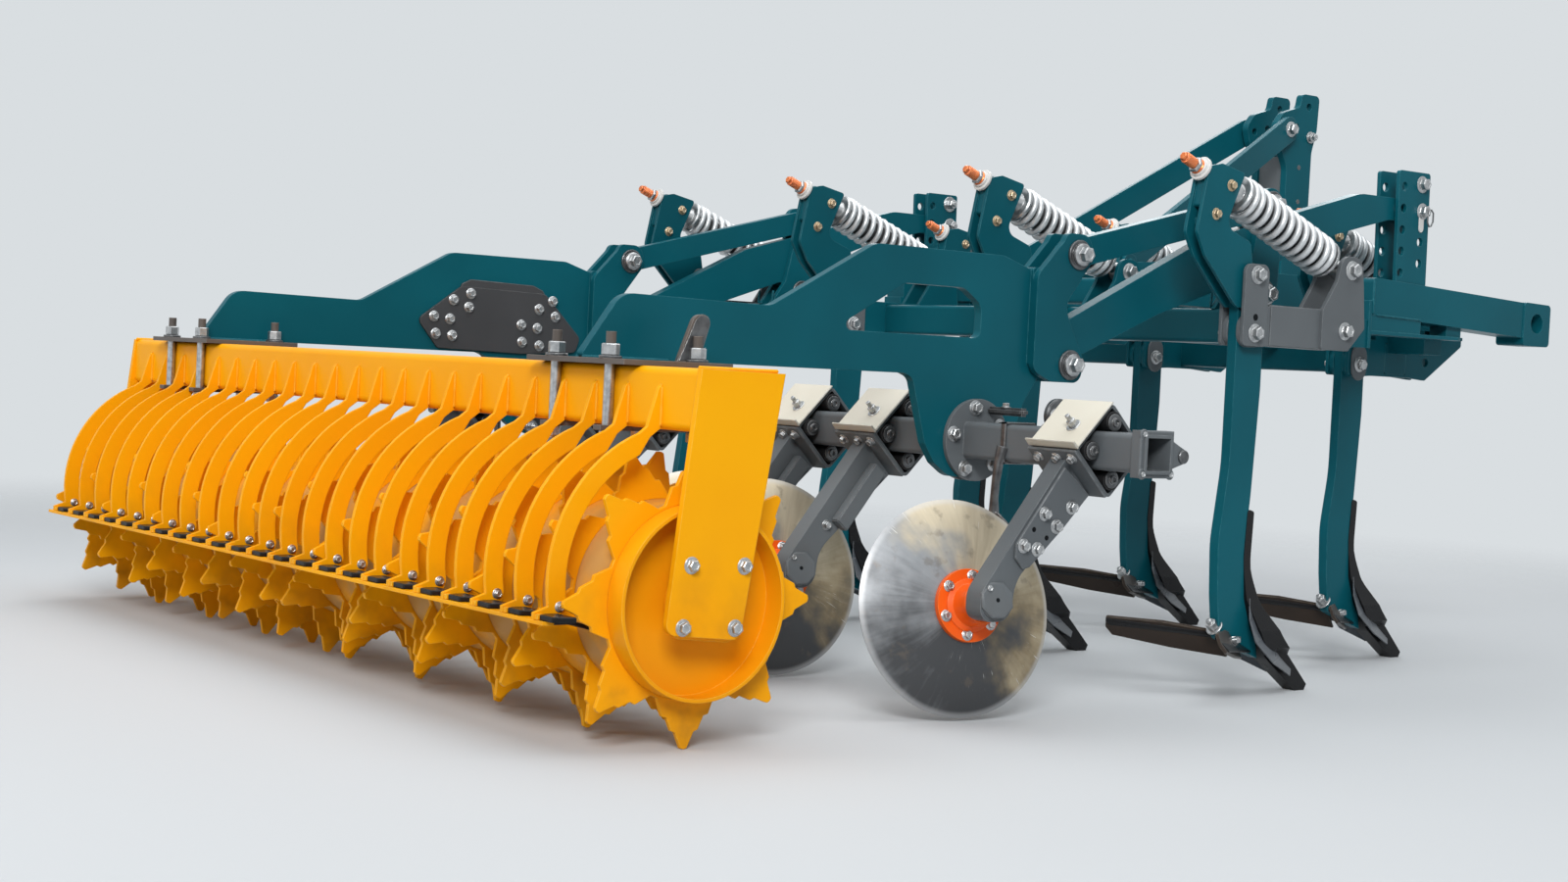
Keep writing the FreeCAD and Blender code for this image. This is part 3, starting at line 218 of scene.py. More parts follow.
def painted(name, colour, dark, rough=(0.30, 0.46), edge=None, specular=0.3, dirt=None, middle_tint=None):
    """Powder coat: slow colour drift, orange-peel bump, lighter edges that are partly chipped paint and
    partly painted highlight, and, with dirt, dust low down.

    The last argument gives a browner tint, laid in patches, and how far it reaches to each side of the
    machine's middle, in metres.
    """
    mat, tree, shader = principled(name)
    body = ramp(tree, noise(tree, 2.2, 3.0), [(0.32, dark), (0.68, colour)])
    speck = levels(tree, noise(tree, 55.0, 3.0), 0.66, 0.74)
    body = mixed(tree, maths(tree, "MULTIPLY", speck, 0.25), body, dark)
    normal, facing = edge_mask(tree, 0.003)
    if dirt is not None:
        coords = node_of(tree, "ShaderNodeTexCoord").outputs["Object"]
        parts = node_of(tree, "ShaderNodeSeparateXYZ")
        tree.links.new(coords, parts.inputs[0])
        low = maths(tree, "SUBTRACT", 1.0, levels(tree, parts.outputs["Z"], 0.04, 0.50))
        patch = levels(tree, noise(tree, 9.0, 6.0), 0.42, 0.72)
        body = mixed(tree, maths(tree, "MULTIPLY", maths(tree, "MULTIPLY", low, patch), 0.55), body, dirt)
    # Browner tint in patches within the given reach of the machine's middle.
    if middle_tint is not None:
        tint, reach = middle_tint
        spot = node_of(tree, "ShaderNodeTexCoord").outputs["Object"]
        across = maths(tree, "ABSOLUTE", vectors(tree, "DOT_PRODUCT", spot, (0, 1, 0)))
        inside = maths(tree, "SUBTRACT", 1.0, levels(tree, across, reach, reach + 0.01))
        middle_patches = levels(tree, noise(tree, 6.0, 6.0), 0.30, 0.60)
        body = mixed(tree, maths(tree, "MULTIPLY", maths(tree, "MULTIPLY", inside, middle_patches), 0.85), body, tint)
    # Lighter colour along sharp edges: partly chipped paint, partly a painted highlight of the rounded edges.
    if edge is not None:
        mask = maths(tree, "SUBTRACT", 1.0, levels(tree, facing, 0.80, 0.98))
        fine = levels(tree, noise(tree, 34.0, 5.0), 0.36, 0.64)
        chipped_and_highlight = maths(tree, "ADD", maths(tree, "MULTIPLY", fine, 0.6), 0.25)
        body = mixed(tree, maths(tree, "MULTIPLY", mask, chipped_and_highlight), body, edge)
    tree.links.new(body, shader.inputs["Base Color"])
    roughen(tree, shader, noise(tree, 14.0, 6.0), rough)
    shader.inputs["Specular IOR Level"].default_value = specular
    bump(tree, shader, noise(tree, 900.0, 2.0), 0.12, 0.0004, normal)
    return mat


def bare_metal(name, colour, dark, scale, metallic, rough=(0.22, 0.4), edge=None):
    """Plated or bare steel: mottled colour of the given grain, and lighter edges painted as a highlight."""
    mat, tree, shader = principled(name)
    body = ramp(tree, noise(tree, scale, 6.0), [(0.3, dark), (0.72, colour)])
    normal, facing = edge_mask(tree, 0.0015)
    # Lighter colour along sharp edges: a painted highlight.
    if edge is not None:
        body = mixed(tree, maths(tree, "SUBTRACT", 1.0, levels(tree, facing, 0.8, 0.98)), body, edge)
    tree.links.new(body, shader.inputs["Base Color"])
    shader.inputs["Metallic"].default_value = metallic
    roughen(tree, shader, noise(tree, scale * 2.3, 5.0), rough)
    bump(tree, shader, noise(tree, scale * 6, 3.0), 0.15, 0.0004, normal)
    return mat


def disc_steel(name, centre, axis, outward):
    """Bare blade: steel clouds lighter towards the top and golden clouds towards one side, both painted
    reflection; stains, a pale rim and scratches running outwards.
    """
    mat, tree, shader = principled(name)
    axis = Vector(axis).normalized()
    side = axis.cross(Z_AXIS).normalized()
    up = side.cross(axis)
    coords = node_of(tree, "ShaderNodeTexCoord").outputs["Object"]
    away = vectors(tree, "SUBTRACT", coords, tuple(centre))
    across = vectors(tree, "DOT_PRODUCT", away, tuple(side * outward))
    height = vectors(tree, "DOT_PRODUCT", away, tuple(up))
    radius = vectors(tree, "LENGTH", away)
    rightward = maths(tree, "DIVIDE", across, radius)
    upward = maths(tree, "DIVIDE", height, radius)
    polar = node_of(tree, "ShaderNodeCombineXYZ")
    for socket, value in zip(polar.inputs, (rightward, upward, radius)):
        tree.links.new(value, socket)
    turning = polar.outputs[0]
    fan = noise(tree, 1.0, 3.0, (1.3, 1.3, 2.0), turning)
    brushed = noise(tree, 1.0, 6.0, (22, 22, 9.0), turning)
    hair = noise(tree, 1.0, 2.0, (70, 70, 14.0), turning)
    patch = noise(tree, 9.0, 5.0)
    cloud = maths(tree, "ADD", maths(tree, "MULTIPLY", fan, 0.5), maths(tree, "MULTIPLY", patch, 0.5))
    # Painted reflection: golden clouds leaning towards one side of the blade stand in for the surroundings
    # mirrored in it.
    reflection_lean = maths(tree, "ADD", maths(tree, "MULTIPLY", rightward, -0.20),
                 maths(tree, "MULTIPLY", upward, 0.10))
    golden_reflection_mask = levels(tree, maths(tree, "ADD", cloud, reflection_lean), 0.47, 0.68)
    # Painted light: the steel is made lighter towards the top of the blade.
    cloud_lit_from_above = maths(tree, "ADD", cloud, maths(tree, "MULTIPLY", upward, 0.16))
    pale = levels(tree, cloud_lit_from_above, 0.36, 0.70)
    fine = maths(tree, "MULTIPLY", maths(tree, "SUBTRACT", brushed, 0.5), 0.34)
    steel = ramp(tree, maths(tree, "ADD", pale, fine),
                 [(0.05, (0.070, 0.073, 0.077)), (0.95, (0.31, 0.325, 0.34))])
    golden_reflection = ramp(tree, maths(tree, "ADD", maths(tree, "MULTIPLY", pale, 0.6), fine),
                [(0.0, (0.30, 0.23, 0.13)), (0.7, (0.66, 0.58, 0.43))])
    body = mixed(tree, golden_reflection_mask, steel, golden_reflection)
    scratch = maths(tree, "MULTIPLY", levels(tree, hair, 0.68, 0.75), levels(tree, patch, 0.52, 0.60))
    body = mixed(tree, maths(tree, "MULTIPLY", scratch, 0.8), body, (0.86, 0.86, 0.84))
    stain = maths(tree, "MULTIPLY", levels(tree, noise(tree, 26.0, 5.0), 0.60, 0.72), 0.4)
    body = mixed(tree, stain, body, (0.16, 0.13, 0.10))
    rim = levels(tree, radius, 0.242, 0.256)
    body = mixed(tree, maths(tree, "MULTIPLY", rim, 0.45), body, (0.62, 0.63, 0.64))
    tree.links.new(body, shader.inputs["Base Color"])
    shader.inputs["Metallic"].default_value = 0.55
    roughen(tree, shader, brushed, (0.24, 0.5))
    bump(tree, shader, maths(tree, "ADD", brushed, hair), 0.12, 0.0006)
    return mat


# Each edge colour below is a painted highlight along sharp edges; on the painted finishes it is partly
# chipped paint too.
MATS = {}
MATS["teal"] = painted("teal_paint", (0.0040, 0.105, 0.138), (0.0030, 0.078, 0.104), rough=(0.26, 0.40),
                       edge=(0.07, 0.28, 0.33), specular=0.12)
MATS["yellow"] = painted("yellow_paint", (0.94, 0.42, 0.003), (0.90, 0.365, 0.003), edge=(1.0, 0.66, 0.10),
                         specular=0.10, dirt=(0.36, 0.150, 0.018))
MATS["drum"] = painted("drum_paint", (0.92, 0.40, 0.004), (0.84, 0.33, 0.004), rough=(0.34, 0.5),
                       edge=(1.0, 0.66, 0.10), specular=0.10, middle_tint=((0.46, 0.27, 0.10), 1.43))
MATS["grey"] = painted("grey_paint", (0.142, 0.158, 0.168), (0.106, 0.118, 0.127), edge=(0.32, 0.34, 0.35),
                       specular=0.2, dirt=(0.10, 0.09, 0.08))
MATS["dark"] = painted("dark_paint", (0.060, 0.062, 0.066), (0.040, 0.041, 0.044), edge=(0.20, 0.20, 0.20))
MATS["brown"] = painted("brown_paint", (0.125, 0.108, 0.096), (0.085, 0.071, 0.062), edge=(0.36, 0.30, 0.26))
MATS["orange"] = painted("orange_paint", (0.90, 0.130, 0.008), (0.80, 0.095, 0.006), edge=(1.0, 0.36, 0.08))
MATS["cream"] = painted("cream_plate", (0.70, 0.68, 0.59), (0.60, 0.57, 0.48), edge=(0.84, 0.83, 0.78))
MATS["white"] = painted("white_washer", (0.74, 0.74, 0.72), (0.6, 0.6, 0.58), edge=(0.85, 0.85, 0.85))
MATS["copper"] = bare_metal("copper_rod", (0.86, 0.25, 0.07), (0.62, 0.13, 0.035), scale=90.0, metallic=0.55,
                            edge=(0.95, 0.55, 0.35))
MATS["zinc"] = bare_metal("zinc_fasteners", (0.56, 0.57, 0.57), (0.30, 0.31, 0.32), scale=70.0, metallic=0.85,
                          edge=(0.84, 0.84, 0.83))
MATS["brass"] = bare_metal("brass_fasteners", (0.62, 0.48, 0.30), (0.36, 0.26, 0.16), scale=70.0,
                           metallic=0.75, edge=(0.85, 0.76, 0.62))
MATS["spring"] = bare_metal("spring_wire", (0.80, 0.82, 0.83), (0.56, 0.585, 0.60), scale=38.0,
                            metallic=0.45, rough=(0.24, 0.42))
MATS["seat"] = bare_metal("dark_fittings", (0.16, 0.165, 0.17), (0.07, 0.072, 0.075), scale=50.0,
                          metallic=0.6, edge=(0.45, 0.45, 0.45))
MATS["black"] = painted("black_steel", (0.010, 0.010, 0.011), (0.005, 0.005, 0.006), rough=(0.20, 0.38),
                        edge=(0.05, 0.05, 0.05), specular=0.2)
MATS["worn"] = painted("worn_wings", (0.044, 0.030, 0.022), (0.010, 0.008, 0.007), rough=(0.20, 0.42),
                       edge=(0.22, 0.18, 0.14), specular=0.25)
MATS["mould"] = painted("mould_plates", (0.105, 0.118, 0.134), (0.040, 0.046, 0.052), rough=(0.20, 0.38),
                        edge=(0.42, 0.44, 0.46), specular=0.3)
# Near-black discs laid on faces where holes are: painted shade for the inside of the holes.
MATS["hole_shade"] = painted("open_hole_shades", (0.008, 0.010, 0.012), (0.004, 0.005, 0.006), rough=(0.6, 0.8),
                       specular=0.1)
MATS["rubber"] = painted("black_rubber", (0.020, 0.020, 0.021), (0.012, 0.012, 0.013), rough=(0.5, 0.7),
                         edge=(0.06, 0.06, 0.06))
for joint in frame["joints"]:
    if joint["name"].startswith("disc_"):
        outward = 1 if "left" in joint["name"] else -1
        MATS[joint["child"]] = disc_steel(joint["child"] + "_steel", joint["pos_m"], joint["axis"], outward)


def paint(name, key):
    """Gives a CAD node its material."""
    for slot in nodes[name].material_slots:
        slot.material = MATS[key]


LOOKS = {
    "teal": ["rear_beam", "front_beam", "side_rails", "side_beams", "inner_rails", "hitch_beam_left",
             "hitch_beam_right", "headstock_beam", "mid_beam", "mast_plates", "mast_stays", "stay_feet",
             "depth_plates", "link_brackets", "tines_rear", "tines_front", "depth_levers", "upper_links",
             "arm_left", "arm_right", "tine_holders_inner", "tine_holders_front", "tine_straps_front"],
    "yellow": ["roller_beam", "side_plates", "roller_rings", "scraper_arms", "scraper_rail"],
    "drum": ["roller_drum"],
    "grey": ["disc_tube_left", "disc_tube_middle", "disc_tube_right", "disc_holders", "disc_arms",
             "mast_spacer", "tine_holders_outer", "tine_straps_rear"],
    "dark": ["adjusting_plate"],
    "brown": ["roller_clamps"],
    "black": ["scraper_blades", "shares_rear", "shares_front"],
    "rubber": ["rubber_rollers"],
    "zinc": ["spring_rods_rear", "spring_rods_front"],
    "spring": ["springs_rear", "springs_front"],
    "orange": ["disc_hub_" + disc for disc in DISCS],
}
for key, names in LOOKS.items():
    for name in names:
        paint(name, key)
for disc in DISCS:
    paint("disc_" + disc, "disc_" + disc)


# ---------------------------------------------------------------- mesh helpers, in the CAD's millimetres
def frame_of(axis):
    """The axis and two directions square to it."""
    axis = Vector(axis).normalized()
    helper = Z_AXIS if abs(axis.z) < 0.9 else Vector((1, 0, 0))
    side = axis.cross(helper).normalized()
    return axis, side, axis.cross(side)


def piece(bm, name, body, key, stands_for=(), sharp=35):
    """Puts a finished mesh, held inside the CAD's box, in the scene on its body with its material."""
    for vert in bm.verts:
        vert.co = at(*vert.co)
        for axis in range(3):
            vert.co[axis] = min(max(vert.co[axis], BOX_LOW[axis]), BOX_HIGH[axis])
    bmesh.ops.recalc_face_normals(bm, faces=bm.faces)
    mesh = bpy.data.meshes.new(name)
    bm.to_mesh(mesh)
    bm.free()
    mesh.materials.append(MATS[key])
    mesh.shade_smooth()
    mesh.set_sharp_from_angle(angle=math.radians(sharp))
    obj = bpy.data.objects.new(name, mesh)
    bpy.context.collection.objects.link(obj)
    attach(obj, body)
    if stands_for:
        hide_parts(*stands_for)
    return obj


def bridge(bm, lower, upper):
    """Faces between two rings of vertices."""
    count = len(lower)
    for k in range(count):
        bm.faces.new((lower[k], lower[(k + 1) % count], upper[(k + 1) % count], upper[k]))


def ring_at(bm, centre, side, up, radius, steps, turn=0.0):
    """Vertices round a circle."""
    ring = []
    for k in range(steps):
        angle = turn + 2 * math.pi * k / steps
        ring.append(bm.verts.new(centre + (side * math.cos(angle) + up * math.sin(angle)) * radius))
    return ring


def skin(bm, rings, hollow=False):
    """Closed surface over rings of vertices; a hollow one joins its last ring to its first."""
    for lower, upper in zip(rings, rings[1:]):
        bridge(bm, lower, upper)
    if hollow:
        bridge(bm, rings[-1], rings[0])
    else:
        bm.faces.new(rings[0][::-1])
        bm.faces.new(rings[-1])


def lathe(bm, origin, axis, profile, steps=24, turn=0.0, hollow=False):
    """Solid of revolution from (radius, height) pairs."""
    axis, side, up = frame_of(axis)
    rings = [ring_at(bm, Vector(origin) + axis * height, side, up, radius, steps, turn)
             for radius, height in profile]
    skin(bm, rings, hollow)


def washer(bm, origin, axis, outer, inner, thick, steps=28):
    profile = [(inner, 0), (outer - 0.8, 0), (outer, 0.8), (outer, thick - 1.2), (outer - 1.6, thick),
               (inner, thick)]
    lathe(bm, origin, axis, profile, steps, hollow=True)


def bolt_head(bm, origin, axis, flats, flange=True):
    """Hexagon head with its chamfer, on a dished flange."""
    turn = random.uniform(0, math.pi / 3)
    base = 0.0
    if flange:
        dish = [(flats * 0.80, 0), (flats * 0.82, flats * 0.05), (flats * 0.70, flats * 0.13),
                (flats * 0.58, flats * 0.17)]
        lathe(bm, origin, axis, dish, 24)
        base = flats * 0.15
    corner = flats / math.sqrt(3)
    high = base + flats * 0.55
    lathe(bm, origin, axis, [(corner, base), (corner, high - flats * 0.07), (corner * 0.86, high),
                             (corner * 0.60, high), (corner * 0.56, high - flats * 0.04)], 6, turn)


def threads(bm, origin, axis, radius, length, pitch=2.5, steps=14):
    """Threaded end: a ridge every pitch, and a chamfered tip."""
    profile = []
    count = max(2, int(length / pitch))
    for k in range(count):
        profile.append((radius * 0.93, k * length / count))
        profile.append((radius, (k + 0.5) * length / count))
    profile.append((radius * 0.72, length))
    lathe(bm, origin, axis, profile, steps)


def nut(bm, origin, axis, flats, stud=8.0, ring=True):
    """Washer, hexagon nut chamfered on both faces, and the bolt's end standing out of it."""
    turn = random.uniform(0, math.pi / 3)
    base = 0.0
    if ring:
        washer(bm, origin, axis, flats * 0.92, flats * 0.3, flats * 0.12)
        base = flats * 0.12
    corner = flats / math.sqrt(3)
    high = base + flats * 0.75
    hexagon = [(corner * 0.88, base), (corner, base + flats * 0.06), (corner, high - flats * 0.06),
               (corner * 0.88, high)]
    lathe(bm, origin, axis, hexagon, 6, turn)
    start = Vector(origin) + Vector(axis).normalized() * (high - 1)
    threads(bm, start, axis, flats * 0.31, stud + 1)


def through_bolt(bm, x, z, y_head, y_nut, flats, stud=7.0):
    """Head on one face and nut on the other, along Y."""
    way = 1 if y_head > y_nut else -1
    bolt_head(bm, (x, y_head, z), (0, way, 0), flats)
    nut(bm, (x, y_nut, z), (0, -way, 0), flats, stud)


def solid_between(bm, lower, upper, soften=0.0):
    """Closed solid between two matching outlines, with its edges rounded."""
    a = [bm.verts.new(p) for p in lower]
    b = [bm.verts.new(p) for p in upper]
    count = len(a)
    faces = [bm.faces.new(a[::-1]), bm.faces.new(b)]
    for k in range(count):
        faces.append(bm.faces.new((a[k], a[(k + 1) % count], b[(k + 1) % count], b[k])))
    if soften:
        edges = {edge for face in faces for edge in face.edges}
        bmesh.ops.bevel(bm, geom=list(edges), offset=soften, segments=2, affect="EDGES",
                        clamp_overlap=True)


def slab(bm, points, y0, y1, soften=1.2):
    """Plate parallel to the XZ plane; points are (x, z)."""
    solid_between(bm, [(x, y0, z) for x, z in points], [(x, y1, z) for x, z in points], soften)


def block(bm, centre, axes, sizes, soften=1.5):
    """Rounded block with its own axes and full sizes."""
    u, v, w = (Vector(axis).normalized() * size / 2 for axis, size in zip(axes, sizes))
    centre = Vector(centre)
    section = [centre + u * a + v * b for a, b in ((-1, -1), (1, -1), (1, 1), (-1, 1))]
    solid_between(bm, [p - w for p in section], [p + w for p in section], soften)


def arc_points(x, z, radius, start, end, steps):
    """Points (x, z) along an arc, with its angles in degrees."""
    angles = [math.radians(start + (end - start) * k / steps) for k in range(steps + 1)]
    return [(x + radius * math.cos(angle), z + radius * math.sin(angle)) for angle in angles]


def sweep(bm, path, radius, steps=10, taper=None):
    """Round bar along a path of points; taper gives each point's share of the radius."""
    path = [Vector(p) for p in path]
    rings = []
    side = None
    for k, point in enumerate(path):
        along = (path[min(k + 1, len(path) - 1)] - path[max(k - 1, 0)]).normalized()
        if side is None:
            side = frame_of(along)[1]
        side = (side - along * side.dot(along)).normalized()
        up = along.cross(side)
        rings.append(ring_at(bm, point, side, up, radius * (taper[k] if taper else 1), steps))
    skin(bm, rings)


def coil(bm, origin, axis, radius, wire, length, turns, per_turn=30, steps=10):
    """Compression spring with a closed turn at each end."""
    axis, side, up = frame_of(axis)
    count = int(turns * per_turn)
    open_pitch = (length - wire * 3) / (turns - 2)
    path = []
    for k in range(count + 1):
        t = k / per_turn
        closed = min(t, 1) + max(0, t - (turns - 1))
        height = wire / 2 + closed * wire + (t - closed) * open_pitch
        angle = 2 * math.pi * t
        path.append(Vector(origin) + axis * height + (side * math.cos(angle) + up * math.sin(angle)) * radius)
    sweep(bm, path, wire / 2, steps)


def weld(bm, start, end, size=5.0):
    """Bead with the ripples of a hand-held torch."""
    start, end = Vector(start), Vector(end)
    length = (end - start).length
    count = max(3, int(length / (size * 0.8)))
    path, taper = [], []
    for k in range(count * 2 + 1):
        path.append(start.lerp(end, k / (count * 2)))
        taper.append(0.84 if k % 2 else 1.0)
    taper[0] = taper[-1] = 0.5
    sweep(bm, path, size, 6, taper)


def pin_ends(rings, bolts, x, z, middle, collar):
    """Washer, collar and bolt head on each end of a linkage pin."""
    for way in (-1, 1):
        face = middle + way * CLEVIS_FACE
        washer(rings, (x, face, z), (0, way, 0), 38, 20.2, 7, 36)
        washer(rings, (x, face + way * 7, z), (0, way, 0), 29, 20.2, collar, 32)
        bolt_head(bolts, (x, face + way * (8 + collar), z), (0, way, 0), 35)


# ---------------------------------------------------------------- spring trips
ROD_WAY = Vector((TRUNNION_DX - EYE_DX, 0, TRUNNION_Z - EYE_Z)).normalized()
SPRING_LENGTH = 368.0
SPRING_REAR = 60                         # from the trunnion to the spring's ends
SPRING_FRONT = SPRING_REAR + SPRING_LENGTH
COIL_RADIUS, WIRE, TURNS = 48.5, 17.0, 12
ROD_RADIUS, ROD_START, ROD_LENGTH = 15, 18, 448
SEAT_REACH = 92                          # from the trunnion to the washers on the rod's rear end


def spring_trips(row, tines):
    """Coils, rods with their ends, washers and guide tubes of one row of tines."""
    coils, rods, ends, rings, guides = (bmesh.new() for _ in range(5))
    for x, y, drop in tines:
        trunnion = Vector((x + TRUNNION_DX, y, TRUNNION_Z - drop))
        eye = Vector((x + EYE_DX, y, EYE_Z - drop))
        front = trunnion - ROD_WAY * SPRING_FRONT
        rear = trunnion - ROD_WAY * SPRING_REAR
        coil(coils, front, ROD_WAY, COIL_RADIUS, WIRE, SPRING_LENGTH, TURNS)
        lathe(rods, eye + ROD_WAY * ROD_START, ROD_WAY, [(ROD_RADIUS, 0), (ROD_RADIUS, ROD_LENGTH)], 16)
        boss = [(14.3, 0), (26, 0), (28, 2), (28, 26), (26, 28), (14.3, 28)]
        lathe(rods, eye - Y_AXIS * 14, Y_AXIS, boss, 28, hollow=True)
        plug = [(30, -14), (40, -10), (40, 0), (53, 0), (53, 8), (49, 12), (24, 12)]
        for place, way in ((front, -1), (rear, 1)):
            lathe(rods, place, ROD_WAY * way, plug, 28)
        lathe(guides, front + ROD_WAY * 12, ROD_WAY, [(32, 0), (37, 5), (37, 306), (32, 311)], 24)
        lathe(rods, rear + ROD_WAY * 12, ROD_WAY, [(30, 0), (28, 6), (19, 26), (18, 30)], 24)
        seat = trunnion + ROD_WAY * SEAT_REACH
        washer(rings, seat, ROD_WAY, 32, 15.3, 9, 32)
        lathe(rings, seat + ROD_WAY * 9, ROD_WAY, [(24, 0), (24, 5), (21, 8), (15.5, 8)], 28)
        lathe(ends, seat + ROD_WAY * 12, ROD_WAY, [(20, 0), (21, 1.5), (21, 7), (18, 10), (15.5, 10)], 28)
        lathe(rods, seat + ROD_WAY * 22, ROD_WAY, [(19, 0), (21, 1.5), (21, 8), (18, 11), (15.6, 11)], 6)
        threads(ends, seat + ROD_WAY * 33, ROD_WAY, 14.8, 36, 3.4, 18)
        lathe(ends, seat + ROD_WAY * 68, ROD_WAY, [(11.5, 0), (11.5, 9), (9.5, 11)], 6)
    piece(coils, "coil_springs_" + row, "frame", "spring", ["springs_" + row], 60)
    piece(rods, "trip_rods_" + row, "frame", "zinc", ["spring_rods_" + row])
    piece(ends, "trip_rod_ends_" + row, "frame", "copper")
    piece(rings, "trip_washers_" + row, "frame", "white")
    piece(guides, "trip_guides_" + row, "frame", "seat")


spring_trips("rear", TINES[:4])
spring_trips("front", TINES[4:])

# ---------------------------------------------------------------- tine fasteners and ground tools
bolts, brass, hole_shades, moulds, wings, plates = (bmesh.new() for _ in range(6))
for x, y, drop in TINES:
    front_row = drop > 0
    eye_face = HOLDER_HALF if front_row else HOLDER_HALF + 12
    for side in (-1, 1):
        for z in (PIVOT_Z, STRAP_BOLT_Z):
            if side < 0:
                bolt_head(bolts, (x, y - STRAP_FACE, z - drop), (0, -1, 0), 30)
            else:
                nut(bolts, (x, y + STRAP_FACE, z - drop), (0, 1, 0), 30, 9)
        # Near-black disc on each strap face over its hole: painted shade.
        lathe(hole_shades, (x, y + side * 42.2, 987 - drop), (0, side, 0), [(9, 0), (9, 0.5), (7, 0.7)], 16)
    through_bolt(bolts, x + EYE_DX, EYE_Z - drop, y - eye_face, y + eye_face, 32)
    if not front_row:
        through_bolt(bolts, x + 355, 968, y - eye_face, y + eye_face, 30)
    for dx, z in ((TRUNNION_DX, TRUNNION_Z), (-151, 1243)):
        through_bolt(brass, x + dx, z - drop, y - 25, y + 25, 19, 4)
    if front_row:
        z = PIVOT_Z - drop
        foot = arc_points(x, z - 14, 34, 180, 360, 8) + arc_points(x, z + 26, 34, 0, 180, 8)
        slab(plates, foot, y - 48, y - 42.4, 1.0)
        bolt_head(bolts, (x, y - 48, z), (0, -1, 0), 28)
    elif abs(y) > 1000:
        face = math.copysign(1, y)
        y0, y1 = sorted((y + face * HOLDER_HALF, y + face * (HOLDER_HALF + 3)))
        slab(plates, [(x + 68, 916), (x + 266, 916), (x + 266, 1022), (x + 68, 1022)], y0, y1, 1.0)
    # bolts that hold the wings, mould plates and wing blades
    for side in (-1, 1):
        for share in (0.10, 0.26):
            mid = Vector((x + 34 - 258 * share, y + side * (15 + 175 * share), 134 + 29 * share))
            bolt_head(bolts, mid + Vector((0, 0, 4)), (-0.32, side * 0.05, 0.95), 22, False)
        root = Vector((x + 62, y + side * 18, 262))
        inner = [root, Vector((x + 88, y + side * 22, 205)), Vector((x + 128, y + side * 28, 146)),
                 Vector((x + 186, y + side * 26, 92)), Vector((x + 236, y + side * 22, 58))]
        outer = [Vector((x + 58, y + side * 21, 252)), Vector((x + 44, y + side * 38, 196)),
                 Vector((x + 48, y + side * 58, 142)), Vector((x + 118, y + side * 62, 84)),
                 Vector((x + 214, y + side * 40, 44))]
        for k in range(len(inner) - 1):
            ring = [inner[k], inner[k + 1], outer[k + 1], outer[k]]
            lift = Vector((-0.25, side * 0.9, 0.3)) * 5
            solid_between(moulds, ring, [p + lift for p in ring])
        wing = [Vector((x - 16, y + side * 15, 162)), Vector((x - 130, y + side * 104, 180)),
                Vector((x - 252, y + side * 190, 188)), Vector((x - 246, y + side * 196, 160)),
                Vector((x - 220, y + side * 196, 138)), Vector((x - 90, y + side * 112, 112)),
                Vector((x + 34, y + side * 22, 92))]
        solid_between(wings, wing, [p + Vector((7, side * 3, 5)) for p in wing], 1.5)
    heel = Vector((x - 44, y, 176))
    nut(bolts, heel, (-0.78, 0, 0.62), 26, 10)
bmesh.ops.remove_doubles(moulds, verts=moulds.verts, dist=0.05)
piece(bolts, "tine_bolts", "frame", "zinc")
piece(brass, "head_bolts", "frame", "brass")
piece(hole_shades, "strap_hole_shades", "frame", "hole_shade")
piece(moulds, "share_moulds", "frame", "mould", sharp=60)
piece(wings, "wing_blades", "frame", "worn")
piece(plates, "holder_plates", "frame", "grey")

# ---------------------------------------------------------------- linkage pins, depth plates, mast
bolts, rings, clips, welds, slots = (bmesh.new() for _ in range(5))
for side in (-1, 1):
    middle = side * LINKAGE_Y
    for x, z in FRAME_PINS:
        pin_ends(rings, bolts, x, z, middle, 6)
    for x, z in ((899, 1418), (906, 1340)):
        through_bolt(bolts, x, z, middle + side * 40, middle - side * 40, 30, 8)
    slab(slots, arc_points(902, 1290, 11, 180, 360, 6) + arc_points(902, 1345, 11, 0, 180, 6),
         middle + side * 40, middle + side * 43, 0.8)
    clip = [(913, middle + side * 66, 1346), (921, middle + side * 68, 1336), (924, middle + side * 66, 1312),
            (918, middle + side * 64, 1298), (908, middle + side * 66, 1296), (902, middle + side * 64, 1308),
            (905, middle + side * 62, 1326)]
    sweep(clips, clip, 2.4, 8)
    weld(welds, (704, middle + side * 45, 1034), (704, middle + side * 45, 1128), 4)
    weld(welds, (722, middle + side * 45.5, 1031), (920, middle + side * 45.5, 1026), 3.5)
    for face in (-1, 1):
        for dx in (-48, 46):
            y = middle + face * CLEVIS_FACE
            weld(welds, (168 + dx, y, 1016), (168 + dx + 4, y, 1060), 4)
    # mast
    out = side * 77
    bolt_head(bolts, (1443, side * 108, 1686), (0, side, 0), 32)
    washer(bolts, (1579, out, 1673), (0, side, 0), 20, 9, 5)
    washer(bolts, (1579, out + side * 5, 1673), (0, side, 0), 15, 9, 8)
    bolt_head(bolts, (1579, out + side * 13, 1673), (0, side, 0), 20)
    for x, z in ((1530, 1566), (1534, 1450)):
        lathe(clips, (x, out, z), (0, side, 0), [(8, 0), (8, 0.8), (6, 0.9)], 16)
    weld(welds, (1472, out, 1168), (1584, out, 1168), 5)
    weld(welds, (1472, side * 374, 1167), (1584, side * 374, 1167), 5)
piece(bolts, "frame_bolts", "frame", "zinc")
piece(rings, "frame_pin_washers", "frame", "seat")
piece(clips, "depth_pin_clips", "frame", "seat")
piece(slots, "depth_slots", "frame", "white")
piece(welds, "frame_welds", "frame", "teal")

